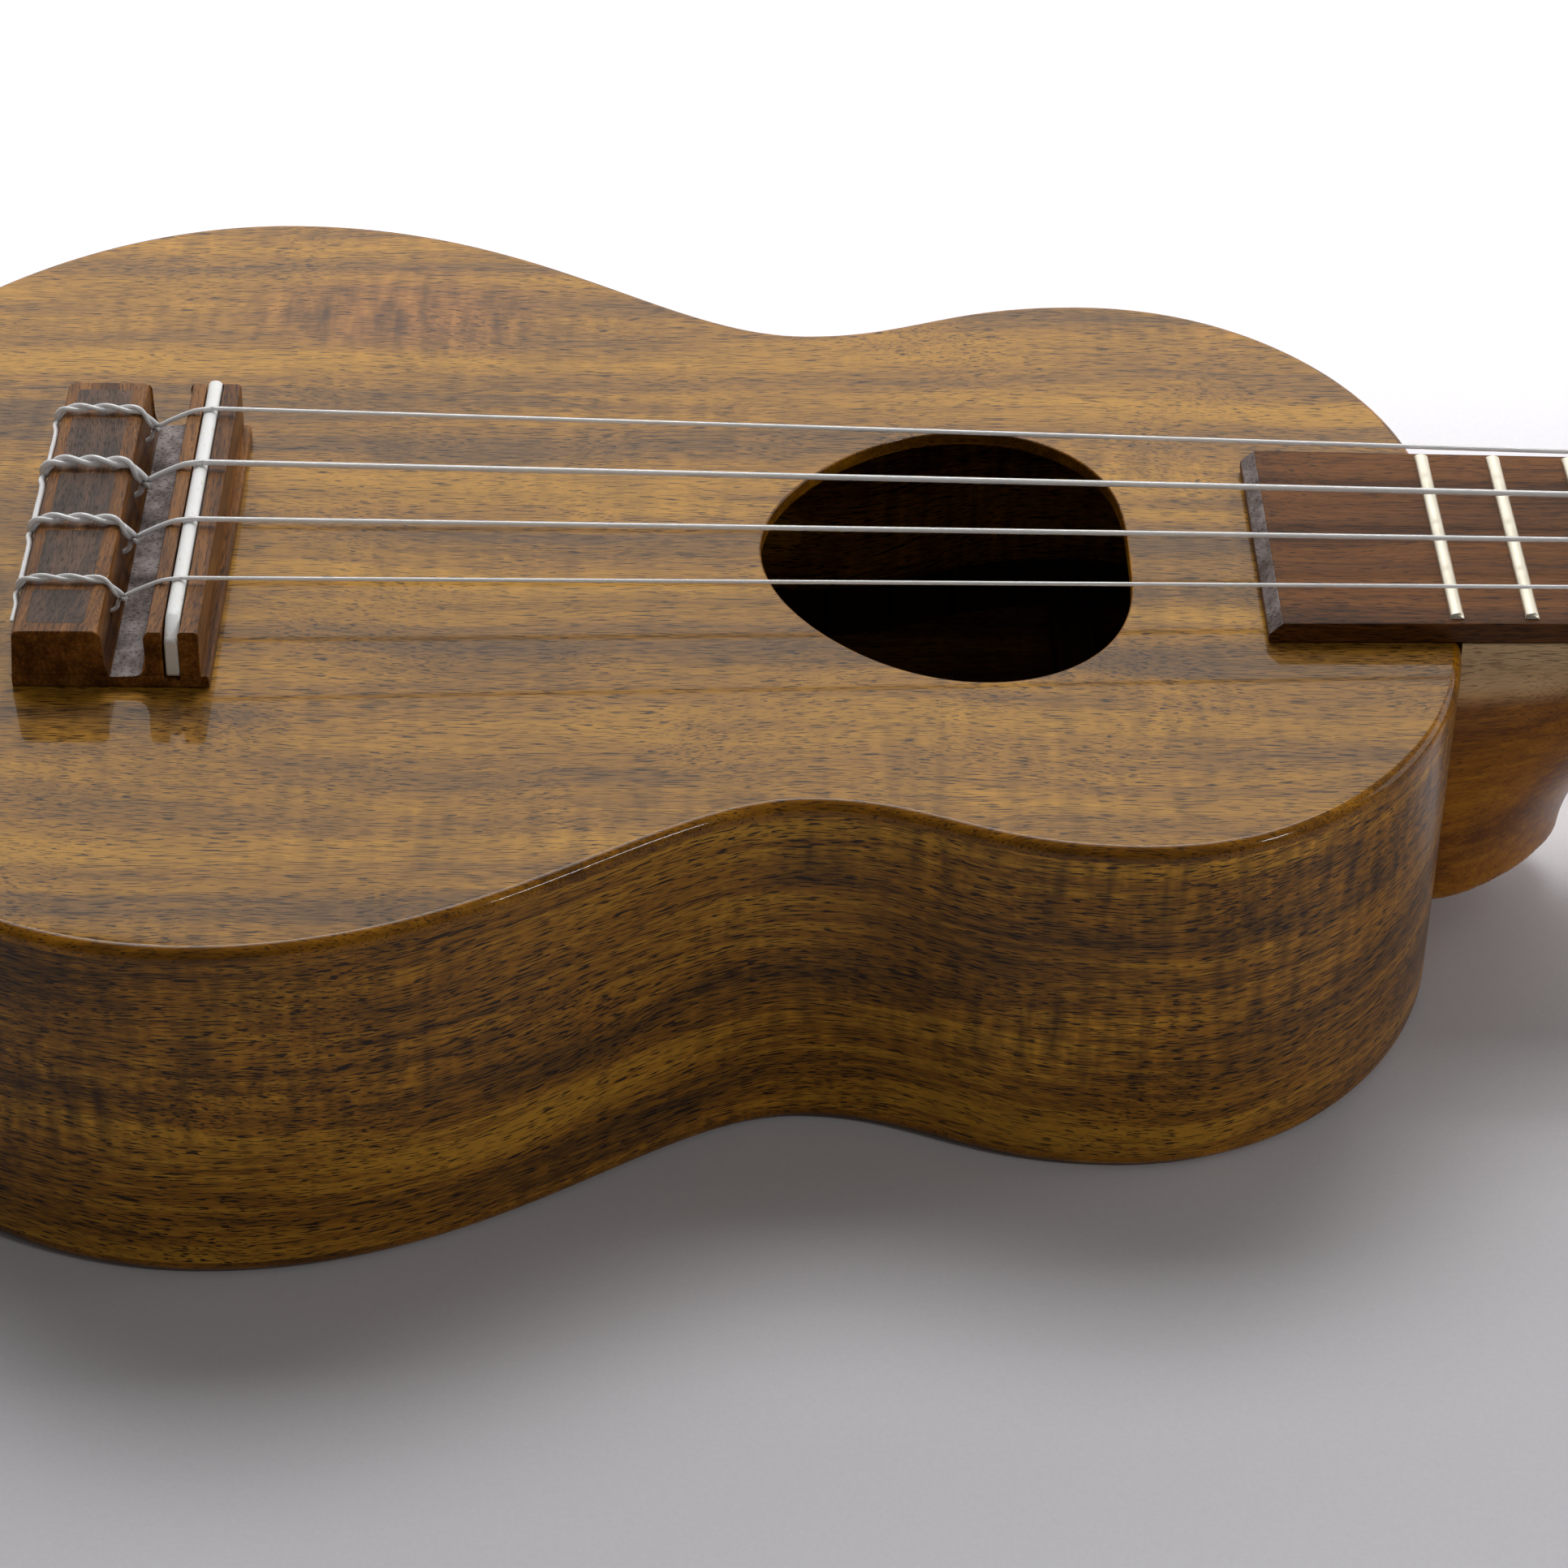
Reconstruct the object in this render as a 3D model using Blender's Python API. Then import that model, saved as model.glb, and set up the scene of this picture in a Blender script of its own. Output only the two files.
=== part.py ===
"""A soprano ukulele, modelled piece by piece in metres.

X runs along the strings from the saddle to the headstock, Y to the bass side and Z out of the soundboard.
The origin lies on the flat back, on the centre line, straight below the saddle.
"""

import math

import bmesh
import bpy
from mathutils import Matrix, Vector

# Clearances
GAP = 0.0003                    # between pieces that are glued or rest on each other
POST_CLEARANCE = 0.0007         # round a tuner post in the headstock
LINING_END_GAP = 0.004          # from a lining's end to a block

# Body
SCALE_LENGTH = 0.349            # saddle to nut
BODY_DEPTH = 0.054
TOP_PLATE = 0.002
BACK_PLATE = 0.002
RIB = 0.002
EDGE_ROUND = 0.0016
TAIL_X = -0.0669
LOWER_BOUT_X = 0.0060
LOWER_BOUT_HALF = 0.0927
WAIST_X = 0.0854
WAIST_HALF = 0.0603
UPPER_BOUT_X = 0.1284
UPPER_BOUT_HALF = 0.0700
JOINT_PAST_TWELFTH = 0.001      # from the twelfth fret's centre to the end of the body
JOINT_HALF = 0.0187             # half of the flat that the heel meets

# Soundhole: a rounded triangle with its apex towards the bridge
HOLE_X = 0.1063
HOLE_RADIUS = 0.0289
HOLE_WIDENING = 0.0029
HOLE_APEX = 0.0014

# Inside the body
LINING_WIDTH = 0.004
LINING_HEIGHT = 0.006
TAIL_BLOCK_HALF = 0.018
TAIL_BLOCK_LENGTH = 0.012
NECK_BLOCK_HALF = 0.022
NECK_BLOCK_LENGTH = 0.016
TENON_HALF = 0.008
TENON_IN_BLOCK = 0.010
TENON_LIFT = 0.006              # from the back plate to the tenon
TENON_ROOT = 0.005              # how far the tenon is sunk into the heel
BRACE_WIDTH = 0.006
BRACE_HEIGHT = 0.007
BRACE_END_HEIGHT = 0.002
BRACE_END_TAPER = 0.014
BRACE_FROM_HOLE = 0.009         # from the soundhole's edge to a brace's centre
STRUT_WIDTH = 0.005
STRUT_HEIGHT = 0.005
STRUT_SPACING = 0.024
STRUT_TAIL_END = -0.046
BRIDGE_PLATE_THICKNESS = 0.0015
BRIDGE_PLATE_MARGIN = 0.005     # past the bridge on all four sides
NOTCH_CLEARANCE = 0.0006

# Bridge and saddle, heights counted from the soundboard
BRIDGE_LENGTH = 0.0641
BRIDGE_SHIFT = -0.0036          # the bridge is glued off centre, to the treble side
BRIDGE_TAIL_X = -0.0215
BRIDGE_NECK_X = 0.0035
BRIDGE_LEDGE = 0.0011
BRIDGE_LEDGE_HEIGHT = 0.0021
BRIDGE_HEIGHT = 0.0092
BRIDGE_TAIL_CHAMFER = 0.0010
BRIDGE_TAIL_FLARE = 0.0005      # how much the tail face leans out towards its foot
TIE_BLOCK_X = -0.0098
CHANNEL_FLOOR_START_X = -0.0084
CHANNEL_FLOOR_END_X = -0.0060
CHANNEL_COVE = 0.0014           # how high the rounded foot of the saddle block rises
SADDLE_BLOCK_X = -0.0036
CHANNEL_FLOOR = 0.0019
SADDLE_X = -0.0002
SADDLE_THICKNESS = 0.0020
SADDLE_FLOOR = 0.0013
SADDLE_CROWN = 0.0098
SADDLE_END_DROP = 0.0017        # the treble end is filed down
SADDLE_END_SLOPE = 0.0038
STRING_HOLE_HEIGHT = 0.0045
STRING_HOLE_CLEARANCE = 0.0005

# Fretboard, frets and nut
FRETBOARD_START_X = 0.1486
FRETBOARD_START_HALF = 0.0224
FRETBOARD_THICKNESS = 0.0032
FRETBOARD_BEVEL = 0.0018
NUT_HALF = 0.0190
NUT_LENGTH = 0.0042
STRING_AT_NUT = 0.0049          # string underside at the nut, above the soundboard's plane
FRET_COUNT = 12
FRET_WIDTH = 0.0020
FRET_HEIGHT = 0.0008
FRET_INSET = 0.0010
DOT_FRETS = (5, 7, 10)
DOT_RADIUS = 0.0026
DOT_THICKNESS = 0.0010

# Neck and headstock
NECK_DEPTH = 0.0153
NECK_DEPTH_AT_NUT = 0.0135
NECK_FLANK = 0.0020
HEEL_ABOVE_BACK = 0.0060
HEEL_CAP_HALF = 0.0186
HEEL_CAP_LENGTH = 0.0215
HEEL_LENGTH = 0.058             # along the underside of the shaft
HEEL_EDGE = 0.0012
HEEL_SWEEP = 2.4                # how late the heel sweeps forward on its way up
HEEL_ROUNDNESS = 1.3
HEEL_FULLNESS = 1.5
HEAD_ANGLE = math.radians(12.0)
HEAD_LENGTH = 0.104
HEAD_THICKNESS = 0.012
HEAD_SHOULDER = 0.018
HEAD_SHOULDER_HALF = 0.0255
HEAD_END_HALF = 0.0285
HEAD_CORNER = 0.009
HEAD_END_BULGE = 0.004
VENEER_THICKNESS = 0.0015
VENEER_START = 0.0012

# Tuners: local positions along the headstock and across it
NEAR_TUNER_U = 0.030
FAR_TUNER_U = 0.070
TUNER_V = 0.0160
POST_RADIUS = 0.0029
POST_HEIGHT = 0.0115            # above the veneer
FERRULE_RADIUS = 0.0052
FERRULE_HEIGHT = 0.0013
CUP_RADIUS = 0.0056
CUP_HEIGHT = 0.0026
BUTTON_LENGTH = 0.0135
BUTTON_NECK_RADIUS = 0.0040
BUTTON_HALF_WIDTH = 0.0095
BUTTON_HALF_THICKNESS = 0.0036
BUTTON_SOCKET = 0.0060
STRING_POST_HEIGHT = 0.0050     # where the string meets its post, above the veneer

# Strings: radius, and spacing over all four at saddle and nut
STRING_RADII = {"g": 0.00034, "c": 0.00044, "e": 0.00038, "a": 0.00029}
STRING_SHIFT = -0.0020          # at the saddle, because the bridge is off centre
STRING_SPREAD_SADDLE = 0.0437
STRING_SPREAD_NUT = 0.0281

# Values that follow from the ones above
TOP = BODY_DEPTH
JOINT_X = SCALE_LENGTH / 2 + JOINT_PAST_TWELFTH
NUT_END_X = SCALE_LENGTH + NUT_LENGTH
HEAD_PIVOT = Vector((NUT_END_X + GAP, 0, TOP))
HEAD_FRAME = Matrix.Translation(HEAD_PIVOT) @ Matrix.Rotation(HEAD_ANGLE, 4, "Y")
UNDER_TOP = TOP - TOP_PLATE - GAP
OVER_BACK = BACK_PLATE + GAP
VENEER_TOP = GAP + VENEER_THICKNESS
HOLE_NECK_X = HOLE_X + HOLE_RADIUS - HOLE_WIDENING - HOLE_APEX
HOLE_BRIDGE_X = HOLE_X - HOLE_RADIUS + HOLE_WIDENING - HOLE_APEX
STRING_ORDER = ("g", "c", "e", "a")
CURVE_STEPS = 11
ROUND_STEPS = 20

WOOD = {
    "top": ((0.38, 0.24, 0.10, 1), 0.42),
    "side": ((0.20, 0.11, 0.04, 1), 0.38),
    "inner": ((0.62, 0.46, 0.28, 1), 0.75),
    "neck": ((0.22, 0.12, 0.05, 1), 0.45),
    "bridge": ((0.16, 0.07, 0.035, 1), 0.5),
    "fretboard": ((0.17, 0.08, 0.04, 1), 0.5),
    "veneer": ((0.20, 0.11, 0.04, 1), 0.38),
}


# Materials and objects

def material(name, color, roughness, metallic=0.0):
    """A Principled material of one colour."""
    made = bpy.data.materials.new(name)
    made.use_nodes = True
    shader = made.node_tree.nodes["Principled BSDF"]
    shader.inputs["Base Color"].default_value = color
    shader.inputs["Roughness"].default_value = roughness
    shader.inputs["Metallic"].default_value = metallic
    return made


def wood(name, kind):
    color, roughness = WOOD[kind]
    return material(name, color, roughness)


def add_object(name, mesh, made, frame=None):
    """Links a mesh as a named object with its material."""
    made_object = bpy.data.objects.new(name, mesh)
    made_object.data.materials.append(made)
    if frame is not None:
        made_object.matrix_world = frame
    bpy.context.scene.collection.objects.link(made_object)
    return made_object


def loft_mesh(name, loops):
    """A closed mesh through loops of equal length, capped at both ends."""
    shape = bmesh.new()
    rings = [[shape.verts.new(point) for point in loop] for loop in loops]
    for lower, upper in zip(rings, rings[1:]):
        for i in range(len(lower)):
            j = (i + 1) % len(lower)
            shape.faces.new((lower[i], lower[j], upper[j], upper[i]))
    shape.faces.new(list(reversed(rings[0])))
    shape.faces.new(rings[-1])
    bmesh.ops.recalc_face_normals(shape, faces=shape.faces)
    mesh = bpy.data.meshes.new(name)
    shape.to_mesh(mesh)
    shape.free()
    return mesh


def prism_z(name, outline, low, high):
    """An outline in XY pulled from low to high along Z."""
    return loft_mesh(name, [[(x, y, z) for x, y in outline] for z in (low, high)])


def prism_y(name, outline, start, end):
    """An outline in XZ pulled from start to end along Y."""
    return loft_mesh(name, [[(x, y, z) for x, z in outline] for y in (start, end)])


def prism_x(name, outline, start, end):
    """An outline in YZ pulled from start to end along X."""
    return loft_mesh(name, [[(x, y, z) for y, z in outline] for x in (start, end)])


def turned_mesh(name, profile, steps=ROUND_STEPS):
    """A solid of revolution about local Z through (radius, height) points; a bored one closes on itself."""
    shape = bmesh.new()
    rings = []
    for radius, height in profile:
        ring = []
        for i in range(steps):
            turn = 2 * math.pi * i / steps
            ring.append(shape.verts.new((radius * math.cos(turn), radius * math.sin(turn), height)))
        rings.append(ring)
    for lower, upper in zip(rings, rings[1:] + rings[:1]):
        for i in range(steps):
            j = (i + 1) % steps
            shape.faces.new((lower[i], lower[j], upper[j], upper[i]))
    bmesh.ops.recalc_face_normals(shape, faces=shape.faces)
    mesh = bpy.data.meshes.new(name)
    shape.to_mesh(mesh)
    shape.free()
    return mesh


def rod_mesh(name, radius, low, high, steps=ROUND_STEPS):
    """A plain cylinder along local Z."""
    loops = []
    for height in (low, high):
        turns = [2 * math.pi * i / steps for i in range(steps)]
        loops.append([(radius * math.cos(turn), radius * math.sin(turn), height) for turn in turns])
    return loft_mesh(name, loops)


def smooth(made_object, angle=40):
    made_object.data.shade_smooth()
    made_object.data.set_sharp_from_angle(angle=math.radians(angle))


def boolean(target, operation, mesh, frame=None):
    """Adds or cuts a helper shape, which stays hidden."""
    helper = bpy.data.objects.new(mesh.name, mesh)
    if frame is not None:
        helper.matrix_world = frame
    helper.hide_render = True
    helper.display_type = "WIRE"
    bpy.context.scene.collection.objects.link(helper)
    modifier = target.modifiers.new(mesh.name, "BOOLEAN")
    modifier.operation = operation
    modifier.solver = "EXACT"
    modifier.object = helper


# The body's outline

def bezier(start, handle, end_handle, end, steps=CURVE_STEPS):
    """Points of a cubic curve, without its last one."""
    points = []
    for i in range(steps):
        t = i / steps
        weights = ((1 - t) ** 3, 3 * (1 - t) ** 2 * t, 3 * (1 - t) * t * t, t ** 3)
        corners = (start, handle, end_handle, end)
        points.append(tuple(sum(w * c[k] for w, c in zip(weights, corners)) for k in (0, 1)))
    return points


def half_outline():
    """The bass half of the body's outline, from the tail's centre to the flat at the neck."""
    to_lower = LOWER_BOUT_X - TAIL_X
    to_waist = WAIST_X - LOWER_BOUT_X
    to_upper = UPPER_BOUT_X - WAIST_X
    to_joint = JOINT_X - UPPER_BOUT_X
    tail = (TAIL_X, 0)
    lower = (LOWER_BOUT_X, LOWER_BOUT_HALF)
    waist = (WAIST_X, WAIST_HALF)
    upper = (UPPER_BOUT_X, UPPER_BOUT_HALF)
    joint = (JOINT_X, JOINT_HALF)
    points = bezier(tail, (TAIL_X, LOWER_BOUT_HALF * 0.54), (lower[0] - to_lower * 0.53, lower[1]), lower)
    leave = (lower[0] + to_waist * 0.49, lower[1])
    arrive = (waist[0] - to_waist * 0.26, waist[1])
    points += bezier(lower, leave, arrive, waist)
    leave = (waist[0] + to_upper * 0.38, waist[1])
    arrive = (upper[0] - to_upper * 0.50, upper[1])
    points += bezier(waist, leave, arrive, upper)
    shoulder = JOINT_HALF + (UPPER_BOUT_HALF - JOINT_HALF) * 0.46
    points += bezier(upper, (upper[0] + to_joint * 0.60, upper[1]), (JOINT_X, shoulder), joint)
    return points + [joint]


def offset_half(inset):
    """The bass half outline moved inwards, still starting on the centre line."""
    points = half_outline()
    moved = [(TAIL_X + inset, 0)]
    for before, point, after in zip(points, points[1:], points[2:]):
        run = Vector((after[0] - before[0], after[1] - before[1])).normalized()
        moved.append((point[0] + run.y * inset, point[1] - run.x * inset))
    return moved + [(JOINT_X - inset, JOINT_HALF)]


def full_outline(inset):
    """The closed outline moved inwards."""
    half = offset_half(inset)
    return half + [(x, -y) for x, y in reversed(half[1:])]


def half_width(x, inset):
    """Half of the width at x inside an outline that is moved inwards."""
    half = offset_half(inset)
    for first, last in zip(half, half[1:]):
        if first[0] <= x <= last[0]:
            share = (x - first[0]) / (last[0] - first[0])
            return first[1] + share * (last[1] - first[1])
    return 0.0


def kept_indices(curve, tail_y, neck_y):
    """Indices of the stretch of a half curve that stays further out than tail_y and neck_y."""
    widest = max(range(len(curve)), key=lambda i: curve[i][1])
    return [i for i, p in enumerate(curve) if p[1] > (tail_y if i < widest else neck_y)]


def crossing(curve, y, falling):
    """Where a half curve first rises past y, or first falls below it."""
    for first, last in zip(curve, curve[1:]):
        low, high = (last, first) if falling else (first, last)
        if low[1] <= y < high[1]:
            share = (y - low[1]) / (high[1] - low[1])
            return (low[0] + share * (high[0] - low[0]), y)
    return curve[-1]


def mirror_y(points, side):
    return [(x, side * y) for x, y in points]


# Body: plates, ribs, blocks, linings and braces

def hole_outline(steps=48):
    points = []
    for i in range(steps):
        turn = 2 * math.pi * i / steps
        radius = HOLE_RADIUS - HOLE_WIDENING * math.cos(2 * turn) - HOLE_APEX * math.cos(3 * turn)
        points.append((HOLE_X + radius * math.cos(turn), radius * math.sin(turn)))
    return points


def rounded_plate(name, flat_z, round_z):
    """A plate with the body's outline whose outer edge at round_z is rounded over."""
    way = 1 if round_z > flat_z else -1
    steps = [(0.0, flat_z)]
    for turn in (0, 30, 60, 90):
        angle = math.radians(turn)
        inset = EDGE_ROUND * (1 - math.cos(angle))
        steps.append((inset, round_z - way * EDGE_ROUND * (1 - math.sin(angle))))
    loops = [[(x, y, z) for x, y in full_outline(inset)] for inset, z in steps]
    return loft_mesh(name, loops)


def make_plates():
    mesh = rounded_plate("soundboard", TOP - TOP_PLATE, TOP)
    soundboard = add_object("soundboard", mesh, wood("soundboard_koa", "top"))
    cutter = prism_z("soundhole_cutter", hole_outline(), TOP - 2 * TOP_PLATE, TOP + TOP_PLATE)
    boolean(soundboard, "DIFFERENCE", cutter)
    add_object("back_plate", rounded_plate("back_plate", BACK_PLATE, 0), wood("back_koa", "side"))


def make_ribs():
    """Two bent ribs that meet at the tail and leave room for the heel's tenon."""
    neck_y = TENON_HALF + GAP
    for side_name, side in (("bass", 1), ("treble", -1)):
        outer = offset_half(0)
        inner = offset_half(RIB)
        outer[0] = (outer[0][0], GAP / 2)
        inner[0] = (inner[0][0], GAP / 2)
        outer.append((JOINT_X, neck_y))
        inner.append((JOINT_X - RIB, neck_y))
        band = mirror_y(outer + inner[::-1], side)
        name = "side_" + side_name
        add_object(name, prism_z(name, band, OVER_BACK, UNDER_TOP), wood(name + "_koa", "side"))


def make_blocks():
    """The tail block, and the neck block with its mortise."""
    inset = RIB + GAP
    curve = offset_half(inset)
    tail_inner = TAIL_X + inset + TAIL_BLOCK_LENGTH
    tail_edge = [p for p in curve if p[1] < TAIL_BLOCK_HALF and p[0] < LOWER_BOUT_X]
    tail_edge.append(crossing(curve, TAIL_BLOCK_HALF, False))
    outline = [(tail_inner, tail_edge[-1][1])] + tail_edge[::-1] + mirror_y(tail_edge[1:], -1)
    outline.append((tail_inner, -tail_edge[-1][1]))
    mesh = prism_z("tail_block", outline, OVER_BACK, UNDER_TOP)
    add_object("tail_block", mesh, wood("tail_block_wood", "inner"))

    face = JOINT_X - inset
    back = face - NECK_BLOCK_LENGTH
    floor = face - TENON_IN_BLOCK - GAP
    mortise = TENON_HALF + GAP
    neck_edge = [crossing(curve, NECK_BLOCK_HALF, True)]
    neck_edge += [p for p in curve if p[1] < NECK_BLOCK_HALF and p[0] > UPPER_BOUT_X]
    half = [(back, neck_edge[0][1])] + neck_edge + [(face, mortise), (floor, mortise)]
    outline = half + mirror_y(half[::-1], -1)
    mesh = prism_z("neck_block", outline, OVER_BACK, UNDER_TOP)
    add_object("neck_block", mesh, wood("neck_block_wood", "inner"))


def make_linings():
    """A strip along the inside of each rib, under the top and over the back."""
    tail_y = TAIL_BLOCK_HALF + LINING_END_GAP
    neck_y = NECK_BLOCK_HALF + LINING_END_GAP
    levels = {"top": (UNDER_TOP - LINING_HEIGHT, UNDER_TOP), "back": (OVER_BACK, OVER_BACK + LINING_HEIGHT)}
    kept = kept_indices(half_outline(), tail_y, neck_y)
    outer = [offset_half(RIB + GAP)[i] for i in kept]
    inner = [offset_half(RIB + GAP + LINING_WIDTH)[i] for i in kept]
    for level, (low, high) in levels.items():
        for side_name, side in (("bass", 1), ("treble", -1)):
            name = level + "_lining_" + side_name
            mesh = prism_z(name, mirror_y(outer + inner[::-1], side), low, high)
            add_object(name, mesh, wood(name + "_wood", "inner"))


def cross_brace(name, x, plate_z, way):
    """A brace across the body, tapered at both ends, that hangs from the top or stands on the back."""
    inset = RIB + LINING_WIDTH + 3 * GAP
    reach = min(half_width(x - BRACE_WIDTH / 2, inset), half_width(x + BRACE_WIDTH / 2, inset))
    profile = [(reach, 0), (reach, BRACE_END_HEIGHT), (reach - BRACE_END_TAPER, BRACE_HEIGHT)]
    outline = [(y, plate_z + way * z) for y, z in profile]
    outline += [(-y, plate_z + way * z) for y, z in reversed(profile)]
    mesh = prism_x(name, outline, x - BRACE_WIDTH / 2, x + BRACE_WIDTH / 2)
    add_object(name, mesh, wood(name + "_spruce", "inner"))


def make_braces():
    cross_brace("top_brace_upper", HOLE_NECK_X + BRACE_FROM_HOLE, UNDER_TOP, -1)
    cross_brace("top_brace_lower", HOLE_BRIDGE_X - BRACE_FROM_HOLE, UNDER_TOP, -1)
    cross_brace("back_brace_upper", UPPER_BOUT_X, OVER_BACK, 1)
    cross_brace("back_brace_middle", (UPPER_BOUT_X + LOWER_BOUT_X) / 2, OVER_BACK, 1)
    cross_brace("back_brace_lower", LOWER_BOUT_X, OVER_BACK, 1)


def make_bridge_plate():
    start = BRIDGE_TAIL_X - BRIDGE_PLATE_MARGIN
    end = BRIDGE_NECK_X + BRIDGE_LEDGE + BRIDGE_PLATE_MARGIN
    reach = BRIDGE_LENGTH / 2 + BRIDGE_PLATE_MARGIN
    outline = [(start, BRIDGE_SHIFT - reach), (end, BRIDGE_SHIFT - reach)]
    outline += [(end, BRIDGE_SHIFT + reach), (start, BRIDGE_SHIFT + reach)]
    mesh = prism_z("bridge_plate", outline, UNDER_TOP - BRIDGE_PLATE_THICKNESS, UNDER_TOP)
    add_object("bridge_plate", mesh, wood("bridge_plate_maple", "inner"))
    return start, end


def make_struts():
    """Three struts under the lower bout, notched where they cross the bridge plate."""
    start, end = make_bridge_plate()
    notch = UNDER_TOP - BRIDGE_PLATE_THICKNESS - GAP
    far_end = HOLE_BRIDGE_X - BRACE_FROM_HOLE - BRACE_WIDTH / 2 - GAP
    low = UNDER_TOP - STRUT_HEIGHT
    outline = [(STRUT_TAIL_END, UNDER_TOP), (STRUT_TAIL_END, UNDER_TOP - BRACE_END_HEIGHT)]
    outline += [(start - BRACE_END_HEIGHT, low), (far_end, low), (far_end, UNDER_TOP)]
    outline += [(end + NOTCH_CLEARANCE, UNDER_TOP), (end + NOTCH_CLEARANCE, notch)]
    outline += [(start - NOTCH_CLEARANCE, notch), (start - NOTCH_CLEARANCE, UNDER_TOP)]
    for side_name, place in (("bass", 1), ("center", 0), ("treble", -1)):
        y = place * STRUT_SPACING
        name = "top_strut_" + side_name
        mesh = prism_y(name, outline, y - STRUT_WIDTH / 2, y + STRUT_WIDTH / 2)
        add_object(name, mesh, wood(name + "_spruce", "inner"))


# Bridge and saddle

def string_y(letter, x):
    """Where a string lies across the neck at x: straight from the saddle to the nut."""
    place = 0.5 - STRING_ORDER.index(letter) / (len(STRING_ORDER) - 1)
    share = x / SCALE_LENGTH
    spread = STRING_SPREAD_SADDLE + (STRING_SPREAD_NUT - STRING_SPREAD_SADDLE) * share
    return place * spread + STRING_SHIFT * (1 - share)


def make_bridge():
    """The tie block, the channel and the saddle block on one base, with a hole for each string."""
    low = TOP + GAP
    high = TOP + BRIDGE_HEIGHT
    slot = SADDLE_THICKNESS / 2 + GAP
    outline = [(BRIDGE_TAIL_X - BRIDGE_TAIL_FLARE, low), (BRIDGE_NECK_X + BRIDGE_LEDGE, low)]
    outline += [(BRIDGE_NECK_X + BRIDGE_LEDGE, TOP + BRIDGE_LEDGE_HEIGHT)]
    outline += [(BRIDGE_NECK_X, TOP + BRIDGE_LEDGE_HEIGHT), (BRIDGE_NECK_X, high)]
    outline += [(SADDLE_X + slot, high), (SADDLE_X + slot, TOP + SADDLE_FLOOR)]
    outline += [(SADDLE_X - slot, TOP + SADDLE_FLOOR), (SADDLE_X - slot, high), (SADDLE_BLOCK_X, high)]
    floor = TOP + CHANNEL_FLOOR
    outline += [(SADDLE_BLOCK_X, floor + CHANNEL_COVE), (SADDLE_BLOCK_X - CHANNEL_COVE / 2, floor + GAP)]
    outline += [(CHANNEL_FLOOR_END_X, floor), (CHANNEL_FLOOR_START_X, floor)]
    outline += [(TIE_BLOCK_X, high), (BRIDGE_TAIL_X + BRIDGE_TAIL_CHAMFER, high)]
    outline += [(BRIDGE_TAIL_X, high - BRIDGE_TAIL_CHAMFER)]
    ends = (BRIDGE_SHIFT - BRIDGE_LENGTH / 2, BRIDGE_SHIFT + BRIDGE_LENGTH / 2)
    bridge = add_object("bridge", prism_y("bridge", outline, *ends), wood("bridge_rosewood", "bridge"))
    for letter in STRING_ORDER:
        start = BRIDGE_TAIL_X - BRIDGE_LEDGE
        reach = CHANNEL_FLOOR_START_X - start
        place = Matrix.Translation((start, string_y(letter, 0), TOP + STRING_HOLE_HEIGHT))
        frame = place @ Matrix.Rotation(math.pi / 2, 4, "Y")
        radius = STRING_RADII[letter] + STRING_HOLE_CLEARANCE
        boolean(bridge, "DIFFERENCE", rod_mesh("string_hole_cutter_" + letter, radius, 0, reach, 10), frame)


def make_saddle():
    low = TOP + SADDLE_FLOOR + GAP
    crown = TOP + SADDLE_CROWN
    far_end = BRIDGE_SHIFT + BRIDGE_LENGTH / 2
    near_end = BRIDGE_SHIFT - BRIDGE_LENGTH / 2
    outline = [(far_end, low), (far_end, crown), (near_end + SADDLE_END_SLOPE, crown)]
    outline += [(near_end, crown - SADDLE_END_DROP), (near_end, low)]
    ends = (SADDLE_X - SADDLE_THICKNESS / 2, SADDLE_X + SADDLE_THICKNESS / 2)
    bone = material("saddle_bone", (0.85, 0.83, 0.76, 1), 0.35)
    add_object("saddle", prism_x("saddle", outline, *ends), bone)


# Neck, headstock, fretboard, frets and nut

def neck_half_width(x):
    """Half of the fretboard's width, which the neck shares."""
    share = (x - FRETBOARD_START_X) / (SCALE_LENGTH - FRETBOARD_START_X)
    return FRETBOARD_START_HALF + (NUT_HALF - FRETBOARD_START_HALF) * share


def neck_section(x, top, half, depth, steps=14):
    """A closed loop across the neck: flat on top, short flanks, round below."""
    loop = [(x, half, top)]
    for i in range(steps + 1):
        turn = math.pi * i / steps
        loop.append((x, half * math.cos(turn), top - NECK_FLANK - (depth - NECK_FLANK) * math.sin(turn)))
    return loop + [(x, -half, top)]


def heel_mesh(steps=18):
    """The heel as level slices: a blunt pointed outline over the cap that sweeps forward into the shaft."""
    cap = HEEL_ABOVE_BACK
    shaft = TOP - NECK_DEPTH
    upper_half = neck_half_width(JOINT_X) - GAP
    rises = [0, 0.04, 0.25, 0.45, 0.6, 0.72, 0.82, 0.9, 0.96, 1]
    levels = [(cap, HEEL_EDGE)] + [(cap + HEEL_EDGE + (shaft - cap - HEEL_EDGE) * rise, 0) for rise in rises]
    levels.append((TOP - NECK_FLANK, 0))
    loops = []
    for z, edge in levels:
        rise = min(1, (z - cap) / (shaft - cap))
        half = HEEL_CAP_HALF + (upper_half - HEEL_CAP_HALF) * rise ** 1.5 - edge
        reach = HEEL_CAP_LENGTH + (HEEL_LENGTH - HEEL_CAP_LENGTH) * rise ** HEEL_SWEEP - edge
        loop = []
        for i in range(steps + 1):
            side = 1 - 2 * i / steps
            along = (1 - abs(side) ** HEEL_ROUNDNESS) ** (1 / HEEL_FULLNESS)
            loop.append((JOINT_X + GAP + reach * along, half * side, z))
        loops.append(loop)
    return loft_mesh("heel_adder", loops)


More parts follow.
